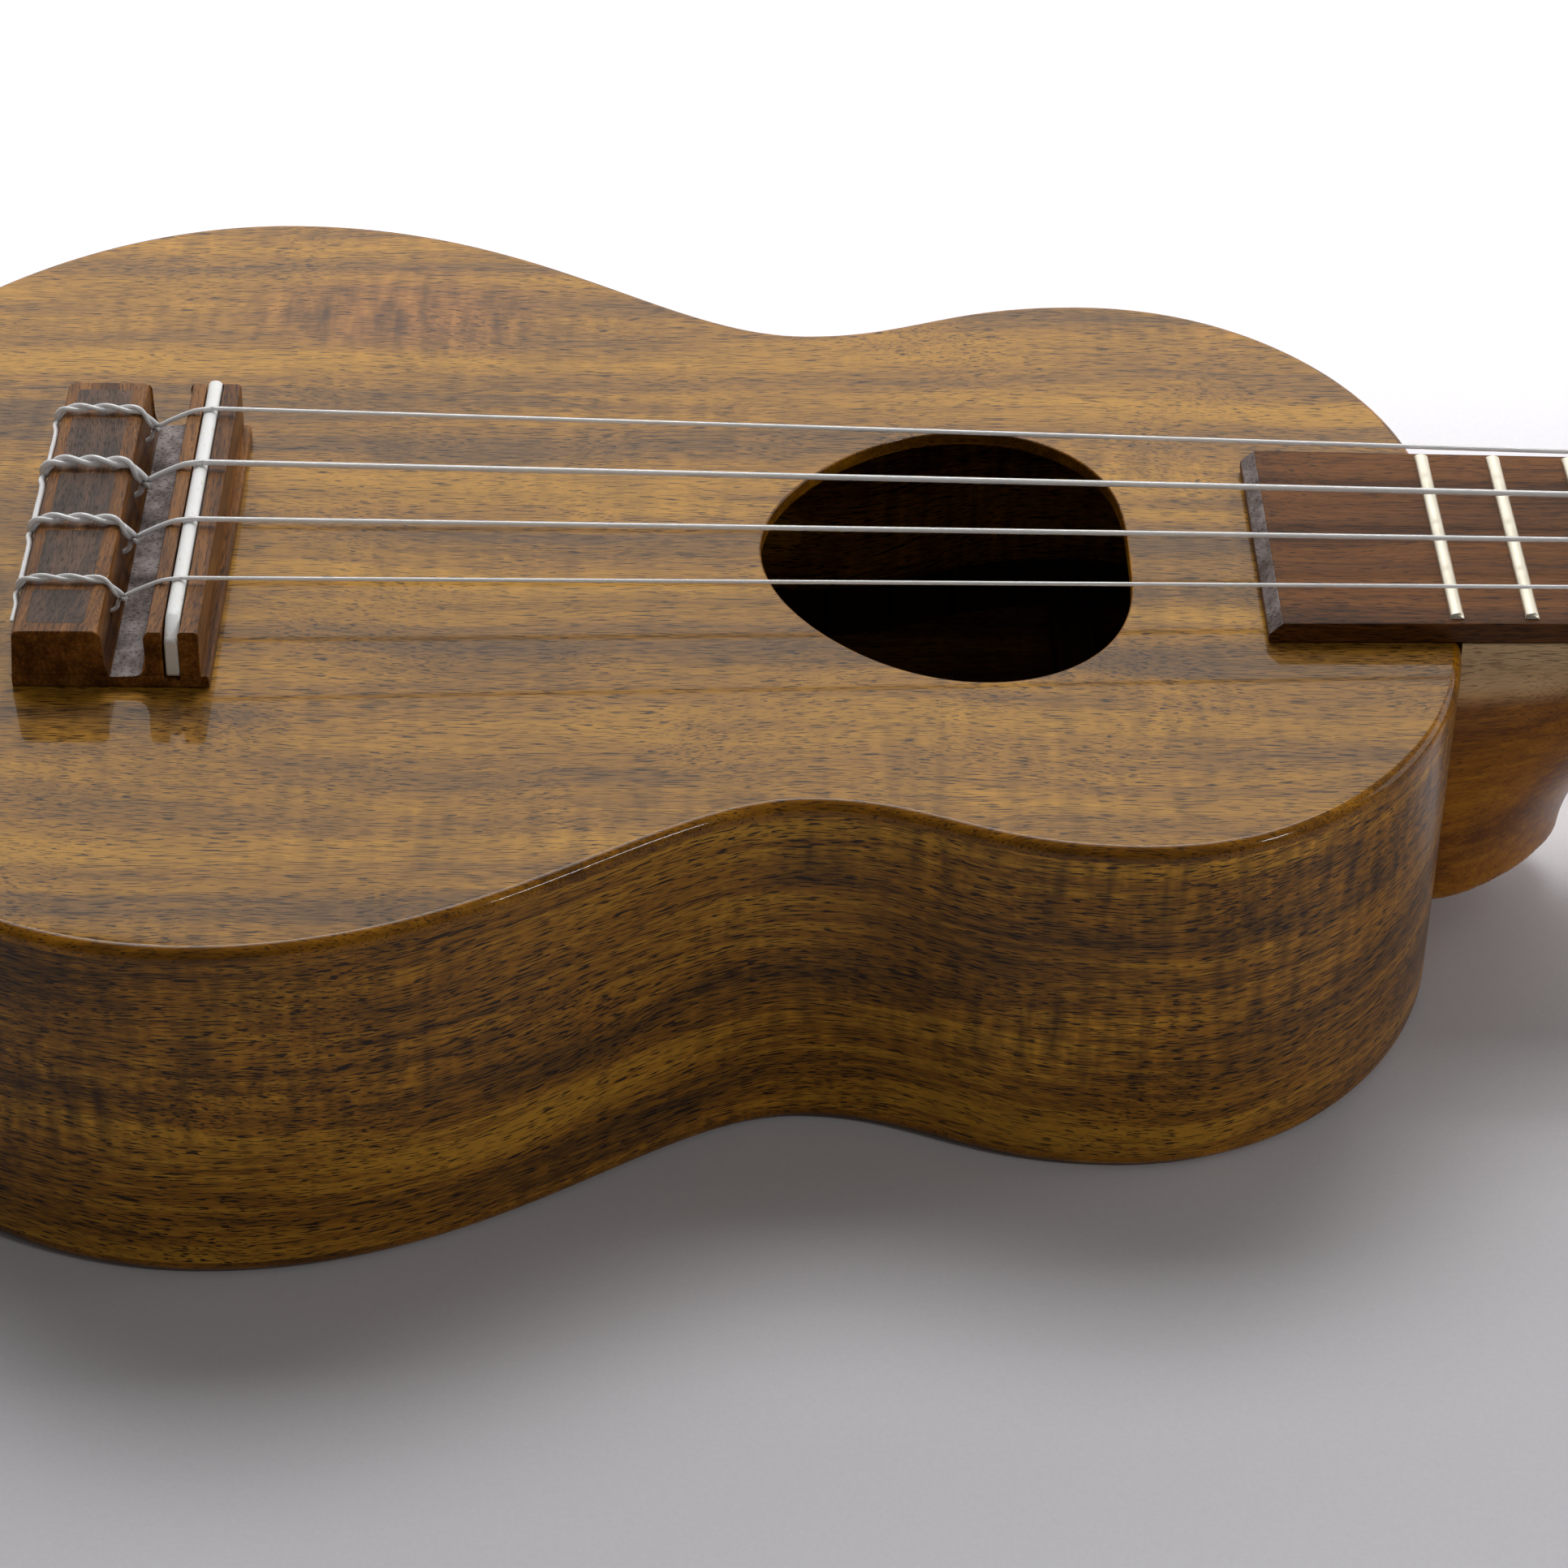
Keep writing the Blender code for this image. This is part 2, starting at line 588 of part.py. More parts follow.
def neck_loops():
    loops = []
    start = JOINT_X + 2 * GAP
    stations = [0, 0.25, 0.5, 0.75]
    for share in stations:
        x = start + (HEAD_PIVOT.x - start) * share
        depth = NECK_DEPTH + (NECK_DEPTH_AT_NUT - NECK_DEPTH) * share
        loops.append(neck_section(x, TOP, neck_half_width(x), depth))
    loops.append(neck_section(HEAD_PIVOT.x, TOP, NUT_HALF, NECK_DEPTH_AT_NUT))
    volute = HEAD_SHOULDER * 0.6
    drop = volute * math.tan(HEAD_ANGLE) + GAP
    depth = HEAD_THICKNESS / math.cos(HEAD_ANGLE) - 2 * GAP
    loops.append(neck_section(HEAD_PIVOT.x + volute, TOP - drop, NUT_HALF - NECK_FLANK, depth))
    return loops


def head_outline(start):
    """The headstock's outline in its own plane: shoulders, straight flanks and a gently arched end."""
    shoulder = (HEAD_SHOULDER, HEAD_SHOULDER_HALF)
    corner_start = (HEAD_LENGTH - HEAD_END_BULGE - HEAD_CORNER, HEAD_END_HALF)
    corner_end = (HEAD_LENGTH - HEAD_END_BULGE, HEAD_END_HALF - HEAD_CORNER)
    first = (start, NUT_HALF - GAP)
    middle = (start + HEAD_SHOULDER) / 2
    half = bezier(first, (middle, first[1]), (middle, HEAD_SHOULDER_HALF), shoulder, 6)
    half += [shoulder]
    corner = (corner_end[0], HEAD_END_HALF)
    half += bezier(corner_start, corner, corner, corner_end, 6)
    leave = (HEAD_LENGTH, corner_end[1] * 0.5)
    arrive = (HEAD_LENGTH, corner_end[1] * 0.25)
    half += bezier(corner_end, leave, arrive, (HEAD_LENGTH, 0), 4)
    return half + [(HEAD_LENGTH, 0)] + [(x, -y) for x, y in reversed(half)]


def tuner_places():
    """Each string's tuner in the headstock's plane."""
    return {
        "g": (NEAR_TUNER_U, TUNER_V),
        "c": (FAR_TUNER_U, TUNER_V),
        "e": (FAR_TUNER_U, -TUNER_V),
        "a": (NEAR_TUNER_U, -TUNER_V),
    }


def drill_posts(target, low, high, prefix):
    """Cuts the four post holes."""
    for letter, (u, v) in tuner_places().items():
        mesh = rod_mesh(prefix + letter, POST_RADIUS + POST_CLEARANCE, low, high, ROUND_STEPS)
        boolean(target, "DIFFERENCE", mesh, HEAD_FRAME @ Matrix.Translation((u, v, 0)))


def make_neck():
    """Heel, tenon, shaft and headstock in one piece of wood."""
    neck = add_object("neck", loft_mesh("neck", neck_loops()), wood("neck_mahogany", "neck"))
    smooth(neck, 30)
    boolean(neck, "UNION", heel_mesh())
    tenon_end = JOINT_X - RIB - GAP - TENON_IN_BLOCK
    root = JOINT_X + TENON_ROOT
    low = OVER_BACK + TENON_LIFT
    outline = [(tenon_end, -TENON_HALF), (root, -TENON_HALF), (root, TENON_HALF), (tenon_end, TENON_HALF)]
    boolean(neck, "UNION", prism_z("tenon_adder", outline, low, UNDER_TOP))
    boolean(neck, "UNION", prism_z("headstock_adder", head_outline(2 * GAP), -HEAD_THICKNESS, 0), HEAD_FRAME)
    drill_posts(neck, -2 * HEAD_THICKNESS, HEAD_THICKNESS, "neck_post_cutter_")


def make_veneer():
    mesh = prism_z("headstock_veneer", head_outline(VENEER_START), GAP, VENEER_TOP)
    veneer = add_object("headstock_veneer", mesh, wood("headstock_koa", "veneer"), HEAD_FRAME)
    drill_posts(veneer, -VENEER_THICKNESS, 2 * VENEER_TOP, "veneer_post_cutter_")


def fret_x(number):
    """Each fret leaves the twelfth root of one half of the string."""
    return SCALE_LENGTH * 2 ** (-number / 12)


def make_fretboard():
    """The tapered board with a bevelled end over the body and a pocket for each dot."""
    low = TOP + GAP
    high = low + FRETBOARD_THICKNESS
    end = SCALE_LENGTH - GAP
    profile = [(FRETBOARD_START_X, low), (end, low), (end, high)]
    profile.append((FRETBOARD_START_X + FRETBOARD_BEVEL, high))
    profile += [(FRETBOARD_START_X, high - FRETBOARD_BEVEL)]
    loops = [[(x, side * neck_half_width(x), z) for x, z in profile] for side in (-1, 1)]
    board = add_object("fretboard", loft_mesh("fretboard", loops), wood("fretboard_rosewood", "fretboard"))
    for number in DOT_FRETS:
        x = (fret_x(number) + fret_x(number - 1)) / 2
        frame = Matrix.Translation((x, 0, high))
        cutter = rod_mesh("dot_cutter_%02d" % number, DOT_RADIUS + GAP, -DOT_THICKNESS - GAP, DOT_THICKNESS)
        boolean(board, "DIFFERENCE", cutter, frame)
        name = "fret_dot_%02d" % number
        pearl = material(name + "_pearl", (0.8, 0.8, 0.77, 1), 0.3)
        dot = add_object(name, rod_mesh(name, DOT_RADIUS, -DOT_THICKNESS, 0), pearl)
        dot.location = frame.translation


def make_frets():
    """Crowned bars across the board, each a little shorter than the board is wide."""
    seat = TOP + FRETBOARD_THICKNESS + 2 * GAP
    for number in range(1, FRET_COUNT + 1):
        x = fret_x(number)
        reach = neck_half_width(x) - FRET_INSET
        half = FRET_WIDTH / 2
        crown = [(-half, 0), (half, 0), (half, FRET_HEIGHT * 0.35), (half * 0.55, FRET_HEIGHT * 0.85)]
        crown += [(0, FRET_HEIGHT), (-half * 0.55, FRET_HEIGHT * 0.85), (-half, FRET_HEIGHT * 0.35)]
        name = "fret_%02d" % number
        mesh = prism_y(name, crown, -reach, reach)
        nickel = material(name + "_nickel", (0.72, 0.71, 0.68, 1), 0.3, 1.0)
        add_object(name, mesh, nickel, Matrix.Translation((x, 0, seat)))


def make_nut():
    low = TOP + GAP
    high = TOP + STRING_AT_NUT - GAP
    rear = high - GAP
    outline = [(SCALE_LENGTH, low), (NUT_END_X, low), (NUT_END_X, rear), (SCALE_LENGTH, high)]
    bone = material("nut_bone", (0.85, 0.83, 0.76, 1), 0.35)
    add_object("nut", prism_y("nut", outline, -NUT_HALF, NUT_HALF), bone)


# Tuners and strings

def button_mesh(name):
    """A flat, rounded grip below a short round neck, with a socket for the post."""
    loops = []
    stations = ((0.0, 0.0), (0.22, 0.0), (0.42, 0.62), (0.62, 0.95), (0.80, 0.98), (0.94, 0.80), (1.0, 0.55))
    for along, spread in stations:
        wide = BUTTON_NECK_RADIUS + (BUTTON_HALF_WIDTH - BUTTON_NECK_RADIUS) * spread
        thick = BUTTON_NECK_RADIUS + (BUTTON_HALF_THICKNESS - BUTTON_NECK_RADIUS) * spread
        if along == 1.0:
            thick = thick * 0.6
        turns = [2 * math.pi * i / ROUND_STEPS for i in range(ROUND_STEPS)]
        loops.append([(wide * math.cos(t), thick * math.sin(t), -along * BUTTON_LENGTH) for t in turns])
    return loft_mesh(name, loops)


def make_tuner(letter, u, v):
    """A friction peg: ferrule and cup stay on the headstock, post and button turn together."""
    frame = HEAD_FRAME @ Matrix.Translation((u, v, 0))
    bore = POST_RADIUS + POST_CLEARANCE
    seat = VENEER_TOP + GAP
    ferrule = [(bore, seat), (FERRULE_RADIUS, seat), (FERRULE_RADIUS, seat + FERRULE_HEIGHT * 0.5)]
    ferrule += [(FERRULE_RADIUS * 0.85, seat + FERRULE_HEIGHT), (bore, seat + FERRULE_HEIGHT)]
    name = "ferrule_" + letter
    metal = (0.75, 0.74, 0.72, 1)
    smooth(add_object(name, turned_mesh(name, ferrule), material(name + "_nickel", metal, 0.2, 1.0), frame))

    rear = -HEAD_THICKNESS - GAP
    cup = [(bore, rear), (bore, rear - CUP_HEIGHT)]
    cup += [(CUP_RADIUS * 0.85, rear - CUP_HEIGHT), (CUP_RADIUS, rear)]
    name = "tuner_cup_" + letter
    smooth(add_object(name, turned_mesh(name, cup), material(name + "_nickel", metal, 0.2, 1.0), frame))

    button_top = rear - CUP_HEIGHT - GAP
    post_low = button_top - BUTTON_SOCKET
    post_high = VENEER_TOP + POST_HEIGHT
    hole_height = VENEER_TOP + STRING_POST_HEIGHT
    name = "post_" + letter
    profile = [(POST_RADIUS, post_low), (POST_RADIUS, post_high - GAP), (POST_RADIUS * 0.85, post_high)]
    turns = [2 * math.pi * i / ROUND_STEPS for i in range(ROUND_STEPS)]
    loops = [[(r * math.cos(t), r * math.sin(t), z) for t in turns] for r, z in profile]
    post = add_object(name, loft_mesh(name, loops), material(name + "_nickel", metal, 0.2, 1.0), frame)
    smooth(post)
    reach = 2 * POST_RADIUS
    drill = rod_mesh("string_eye_cutter_" + letter, STRING_RADII["c"] + GAP, -reach, reach, 8)
    eye = frame @ Matrix.Translation((0, 0, hole_height)) @ Matrix.Rotation(math.pi / 2, 4, "Y")
    boolean(post, "DIFFERENCE", drill, eye)

    name = "button_" + letter
    button_frame = frame @ Matrix.Translation((0, 0, button_top))
    resin = material(name + "_resin", (0.88, 0.86, 0.80, 1), 0.35)
    button = add_object(name, button_mesh(name), resin, button_frame)
    smooth(button)
    wide = POST_RADIUS + GAP
    socket = rod_mesh("socket_cutter_" + letter, wide, -BUTTON_SOCKET - GAP, BUTTON_SOCKET, ROUND_STEPS)
    boolean(button, "DIFFERENCE", socket, button_frame)


def make_string(letter, u, v):
    """One string: tied round the tie block, through its hole, over saddle and nut, and on to its post."""
    radius = STRING_RADII[letter]
    away = radius + GAP
    y = string_y(letter, 0)
    over = TOP + BRIDGE_HEIGHT + away
    behind = BRIDGE_TAIL_X - away
    through = TOP + STRING_HOLE_HEIGHT
    side = math.copysign(1, v)
    post_side = v - side * (POST_RADIUS + away)
    post_end = HEAD_FRAME @ Vector((u, post_side, VENEER_TOP + STRING_POST_HEIGHT))
    saddle = TOP + SADDLE_CROWN + away
    at_nut = TOP + STRING_AT_NUT + radius
    points = [
        (TIE_BLOCK_X - BRIDGE_LEDGE, y, over),
        (BRIDGE_TAIL_X + BRIDGE_TAIL_CHAMFER, y, over),
        (behind, y, over - BRIDGE_TAIL_CHAMFER),
        (behind, y, through + BRIDGE_LEDGE),
        (behind + GAP, y, through),
        (CHANNEL_FLOOR_START_X, y, through),
        (SADDLE_BLOCK_X - away, y, over),
        (SADDLE_X, y, saddle),
        (SCALE_LENGTH, string_y(letter, SCALE_LENGTH), at_nut),
        (NUT_END_X, string_y(letter, NUT_END_X), at_nut - GAP / 2),
        tuple(post_end),
    ]
    name = "string_" + letter
    curve = bpy.data.curves.new(name, "CURVE")
    curve.dimensions = "3D"
    curve.bevel_depth = radius
    curve.bevel_resolution = 2
    curve.use_fill_caps = True
    spline = curve.splines.new("POLY")
    spline.points.add(len(points) - 1)
    for spot, point in zip(spline.points, points):
        spot.co = (*point, 1)
    add_object(name, curve, material(name + "_fluorocarbon", (0.72, 0.74, 0.74, 1), 0.25))


for old in list(bpy.data.objects):
    bpy.data.objects.remove(old, do_unlink=True)

make_plates()
make_ribs()
make_blocks()
make_linings()
make_braces()
make_struts()
make_bridge()
make_saddle()
make_neck()
make_veneer()
make_fretboard()
make_frets()
make_nut()
for string, (along, across) in tuner_places().items():
    make_tuner(string, along, across)
    make_string(string, along, across)
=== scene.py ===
"""The finished ukulele: fine wood, bone, metal and string over the jointed frame."""
import math
import bmesh
import bpy
from mathutils import Matrix, Vector


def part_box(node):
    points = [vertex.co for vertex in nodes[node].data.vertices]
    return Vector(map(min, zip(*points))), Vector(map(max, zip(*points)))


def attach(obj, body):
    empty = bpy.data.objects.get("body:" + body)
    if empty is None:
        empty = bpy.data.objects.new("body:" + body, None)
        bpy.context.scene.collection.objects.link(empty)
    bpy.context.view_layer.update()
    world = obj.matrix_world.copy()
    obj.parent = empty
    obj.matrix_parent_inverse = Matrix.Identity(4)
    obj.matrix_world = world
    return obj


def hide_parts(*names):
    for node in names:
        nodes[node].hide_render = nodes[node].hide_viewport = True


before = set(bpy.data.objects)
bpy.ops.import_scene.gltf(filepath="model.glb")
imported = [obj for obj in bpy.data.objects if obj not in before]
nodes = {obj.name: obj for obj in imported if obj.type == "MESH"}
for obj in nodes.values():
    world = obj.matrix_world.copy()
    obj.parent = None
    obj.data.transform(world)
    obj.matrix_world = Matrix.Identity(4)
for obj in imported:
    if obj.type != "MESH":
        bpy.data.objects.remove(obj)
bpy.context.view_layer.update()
MM = 0.001


# The room: a pale sheet on a table, lit from behind by a broad window and from above by a soft box.
# A little light from the front keeps the near side readable. Nothing here is part of the ukulele.

def linear(code, alpha=1.0):
    """An sRGB hex colour as linear numbers."""
    channels = [int(code[i:i + 2], 16) / 255 for i in (1, 3, 5)]
    return tuple(c / 12.92 if c <= 0.04045 else ((c + 0.055) / 1.055) ** 2.4 for c in channels) + (alpha,)


def node(tree, kind, links=None, **settings):
    """Adds a node with its settings; each link is a value or another node's output."""
    made = tree.nodes.new(kind)
    for name, value in settings.items():
        setattr(made, name, value)
    for name, value in (links or {}).items():
        if isinstance(value, bpy.types.NodeSocket):
            tree.links.new(value, made.inputs[name])
        else:
            made.inputs[name].default_value = value
    return made


def here(tree):
    """A piece's own coordinates."""
    return node(tree, "ShaderNodeTexCoord").outputs["Object"]


def scaled(tree, place, x, y, z):
    """Coordinates whose unit is x, y and z millimetres long."""
    rates = (1 / (x * MM), 1 / (y * MM), 1 / (z * MM))
    return vectors(tree, "MULTIPLY", place, rates)


def noise(tree, place, detail=2.0, roughness=0.5, distortion=0.0):
    """Cloudy values around a half."""
    links = {"Vector": place, "Scale": 1.0, "Detail": detail, "Roughness": roughness,
             "Distortion": distortion}
    return node(tree, "ShaderNodeTexNoise", links).outputs["Fac"]


def remap(tree, value, low, high, to_low=0.0, to_high=1.0, **settings):
    """A value moved from one range to another."""
    links = {"Value": value, "From Min": low, "From Max": high, "To Min": to_low, "To Max": to_high}
    return node(tree, "ShaderNodeMapRange", links, **settings).outputs["Result"]


def maths(tree, operation, *values):
    return node(tree, "ShaderNodeMath", dict(enumerate(values)), operation=operation).outputs["Value"]


def vectors(tree, operation, *values):
    return node(tree, "ShaderNodeVectorMath", dict(enumerate(values)), operation=operation).outputs["Vector"]


def blend(tree, factor, first, second):
    """A colour between two others."""
    links = {"Factor": factor, "A": first, "B": second}
    return node(tree, "ShaderNodeMix", links, data_type="RGBA").outputs["Result"]


def relief_of(tree, height, strength, distance):
    """Normals of a fine relief."""
    links = {"Height": height, "Strength": strength, "Distance": distance}
    return node(tree, "ShaderNodeBump", links).outputs["Normal"]


def surface(tree, output, settings):
    shader = node(tree, "ShaderNodeBsdfPrincipled", settings)
    tree.links.new(shader.outputs["BSDF"], output.inputs["Surface"])


def fresh_material(name):
    """A material with an empty node tree, and its output node."""
    made = bpy.data.materials.new(name)
    made.use_nodes = True
    made.node_tree.nodes.clear()
    return made, made.node_tree, node(made.node_tree, "ShaderNodeOutputMaterial")


def new_object(name, mesh):
    made = bpy.data.objects.new(name, mesh)
    bpy.context.scene.collection.objects.link(made)
    return made


CAMERA_AT = (0.0729, -0.5273, 0.4001)
CAMERA_AZIMUTH, CAMERA_ELEVATION, CAMERA_ROLL = (math.radians(a) for a in (1.079, 36.282, 1.197))
CAMERA_LENS = 102.3

looking = Vector((math.sin(CAMERA_AZIMUTH) * math.cos(CAMERA_ELEVATION),
                  math.cos(CAMERA_AZIMUTH) * math.cos(CAMERA_ELEVATION), -math.sin(CAMERA_ELEVATION)))
across = looking.cross(Vector((0, 0, 1))).normalized()
upward = across.cross(looking)
across, upward = (math.cos(CAMERA_ROLL) * across + math.sin(CAMERA_ROLL) * upward,
                  math.cos(CAMERA_ROLL) * upward - math.sin(CAMERA_ROLL) * across)
camera = new_object("camera", bpy.data.cameras.new("camera"))
facing = Matrix((across, upward, -looking)).transposed().to_4x4()
camera.matrix_world = Matrix.Translation(CAMERA_AT) @ facing
camera.data.lens = CAMERA_LENS
camera.data.sensor_width = 36
camera.data.clip_start = 0.01
bpy.context.scene.camera = camera
bpy.context.scene.view_settings.view_transform = "Standard"

FLOOR_DROP, FLOOR_REACH = 0.2 * MM, 4.0
floor_mesh = bpy.data.meshes.new("floor")
floor_corners = [(x * FLOOR_REACH, y * FLOOR_REACH, -FLOOR_DROP)
                 for x, y in ((-1, -1), (1, -1), (1, 1), (-1, 1))]
floor_mesh.from_pydata(floor_corners, [], [(0, 1, 2, 3)])
floor = new_object("floor", floor_mesh)
paper, tree, output = fresh_material("pale_matte_paper")
fibre = noise(tree, scaled(tree, here(tree), 0.6, 0.6, 0.6), 3.0)
tone = blend(tree, fibre, linear("#d2d0d5"), linear("#dbdade"))
surface(tree, output, {"Base Color": tone, "Roughness": 0.55})
floor_mesh.materials.append(paper)


def soft_box(name, at, aim, size, power, spread=180):
    """A rectangular soft light aimed at a point."""
    light = bpy.data.lights.new(name, "AREA")
    light.shape = "RECTANGLE"
    light.size, light.size_y = size
    light.energy = power
    light.spread = math.radians(spread)
    lamp = new_object(name, light)
    lamp.location = at
    lamp.rotation_euler = (Vector(aim) - Vector(at)).to_track_quat("-Z", "Y").to_euler()
    return lamp


soft_box("window_behind", (0.1, 1.25, 0.62), (0.1, 0, 0.1), (2.6, 0.85), 8)
soft_box("box_above", (0.0, 0.75, 1.4), (0.05, 0.05, 0), (1.3, 0.7), 13)
soft_box("small_window_right", (0.94, -0.57, 0.75), (0.1, -0.08, 0.03), (0.2, 0.045), 1.9)
soft_box("sheet_behind", (0.12, 0.62, 0.85), (0.12, 0.58, 0), (1.8, 0.3), 10, 70)
soft_box("card_right", (1.0, 0.35, 0.35), (0.1, 0.0, 0.05), (0.8, 0.5), 2.5)
world = bpy.data.worlds.new("room")
world.use_nodes = True
world.node_tree.nodes["Background"].inputs["Color"].default_value = linear("#e3e0dc")
world.node_tree.nodes["Background"].inputs["Strength"].default_value = 0.13
bpy.context.scene.world = world


# The soundboard: one koa plate with a rounded outer edge and a rounded-triangle soundhole.
# It is planed thin, glued on the ribs and sprayed with a thin satin lacquer that shows the open pores.

def corner(node_name, end):
    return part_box(node_name)[end]


TOP = corner("soundboard", 1)[2]
TOP_PLATE = TOP - corner("soundboard", 0)[2]
TAIL_X = corner("soundboard", 0)[0]
JOINT_X = corner("soundboard", 1)[0]
LOWER_HALF = corner("soundboard", 1)[1]
LOWER_X, WAIST_X, UPPER_X = 6.0 * MM, 85.4 * MM, 128.4 * MM
WAIST_HALF, UPPER_HALF, JOINT_HALF = 60.3 * MM, 70.0 * MM, 18.7 * MM
EDGE_ROUND = 1.6 * MM
HOLE_X, HOLE_RADIUS, HOLE_WIDENING, HOLE_APEX = 106.3 * MM, 28.9 * MM, 2.9 * MM, 1.4 * MM
HOLE_EDGE = 0.3 * MM


def bezier(start, handle, end_handle, end, steps):
    """Points of a cubic curve, without its last one."""
    points = []
    for i in range(steps):
        t = i / steps
        shares = ((1 - t) ** 3, 3 * (1 - t) ** 2 * t, 3 * (1 - t) * t * t, t ** 3)
        corners = (start, handle, end_handle, end)
        points.append(tuple(sum(s * c[k] for s, c in zip(shares, corners)) for k in (0, 1)))
    return points


def half_outline(steps=44):
    """The bass half of the body's outline from the tail to the flat at the neck."""
    rear, middle, front, last = LOWER_X - TAIL_X, WAIST_X - LOWER_X, UPPER_X - WAIST_X, JOINT_X - UPPER_X
    tail, lower, waist = (TAIL_X, 0), (LOWER_X, LOWER_HALF), (WAIST_X, WAIST_HALF)
    upper, joint = (UPPER_X, UPPER_HALF), (JOINT_X, JOINT_HALF)
    shoulder = JOINT_HALF + (UPPER_HALF - JOINT_HALF) * 0.46
    stretches = ((tail, (TAIL_X, LOWER_HALF * 0.54), (LOWER_X - rear * 0.53, LOWER_HALF), lower),
                 (lower, (LOWER_X + middle * 0.49, LOWER_HALF),
                  (WAIST_X - middle * 0.26, WAIST_HALF), waist),
                 (waist, (WAIST_X + front * 0.38, WAIST_HALF),
                  (UPPER_X - front * 0.50, UPPER_HALF), upper),
                 (upper, (UPPER_X + last * 0.60, UPPER_HALF), (JOINT_X, shoulder), joint))
    points = []
    for stretch in stretches:
        points += bezier(*stretch, steps)
    return points + [joint]


def inset_half(inset):
    """The half outline moved inwards along its normals."""
    points = half_outline()
    moved = [(TAIL_X + inset, 0)]
    for before, point, after in zip(points, points[1:], points[2:]):
        run = Vector((after[0] - before[0], after[1] - before[1])).normalized()
        moved.append((point[0] + run.y * inset, point[1] - run.x * inset))
    return moved + [(JOINT_X - inset, JOINT_HALF)]


def ring_at(inset, z):
    half = inset_half(inset)
    return [(x, y, z) for x, y in half + [(x, -y) for x, y in reversed(half[1:])]]


def hole_ring(grow, z, steps=160):
    ring = []
    for i in range(steps):
        turn = 2 * math.pi * i / steps
        radius = HOLE_RADIUS - HOLE_WIDENING * math.cos(2 * turn) - HOLE_APEX * math.cos(3 * turn) + grow
        ring.append((HOLE_X + radius * math.cos(turn), radius * math.sin(turn), z))
    return ring


def add_rings(shape, rings):
    """Joins rings of equal length with faces and returns them as rings of vertices."""
    made = [[shape.verts.new(point) for point in ring] for ring in rings]
    for lower, upper in zip(made, made[1:]):
        for i in range(len(lower)):
            j = (i + 1) % len(lower)
            shape.faces.new((lower[i], lower[j], upper[j], upper[i]))
    return made


def ring_edges(shape, ring):
    return [shape.edges.get((a, b)) for a, b in zip(ring, ring[1:] + ring[:1])]


def to_object(name, shape, sharp=30):
    """Turns a bmesh into an object, smooth except at its sharp edges, with flat faces kept flat."""
    bmesh.ops.recalc_face_normals(shape, faces=shape.faces)
    mesh = bpy.data.meshes.new(name)
    shape.to_mesh(mesh)
    shape.free()
    mesh.shade_smooth()
    mesh.set_sharp_from_angle(angle=math.radians(sharp))
    made = new_object(name, mesh)
    weighted = made.modifiers.new("flat_faces", "WEIGHTED_NORMAL")
    weighted.keep_sharp = True
    return made


def body_plate(name, flat_z, round_z, with_hole):
    """A plate with the body's outline, rounded over at round_z."""
    way = 1 if round_z > flat_z else -1
    rings = [ring_at(0, flat_z)]
    for turn in range(0, 91, 10):
        inset = EDGE_ROUND * (1 - math.cos(math.radians(turn)))
        rings.append(ring_at(inset, round_z - way * EDGE_ROUND * (1 - math.sin(math.radians(turn)))))
    shape = bmesh.new()
    outer = add_rings(shape, rings)
    if with_hole:
        walls = [hole_ring(0, flat_z)]
        for turn in (0, 30, 60, 90):
            grow = HOLE_EDGE * (1 - math.cos(math.radians(turn)))
            walls.append(hole_ring(grow, round_z - HOLE_EDGE * (1 - math.sin(math.radians(turn)))))
        inner = add_rings(shape, walls)
        for k in (0, -1):
            edges = ring_edges(shape, outer[k]) + ring_edges(shape, inner[k])
            bmesh.ops.triangle_fill(shape, edges=edges, use_beauty=True)
    else:
        shape.faces.new(outer[0])
        shape.faces.new(outer[-1])
    return to_object(name, shape)


# Koa, sawn from figured boards: golden and mauve-brown bands along the grain, a faint ripple across it,
# and open pores a quarter of a millimetre wide and a few millimetres long, darkened under satin lacquer.

BLUSH_LONG, BLUSH_WIDE = 25 * MM, 13 * MM


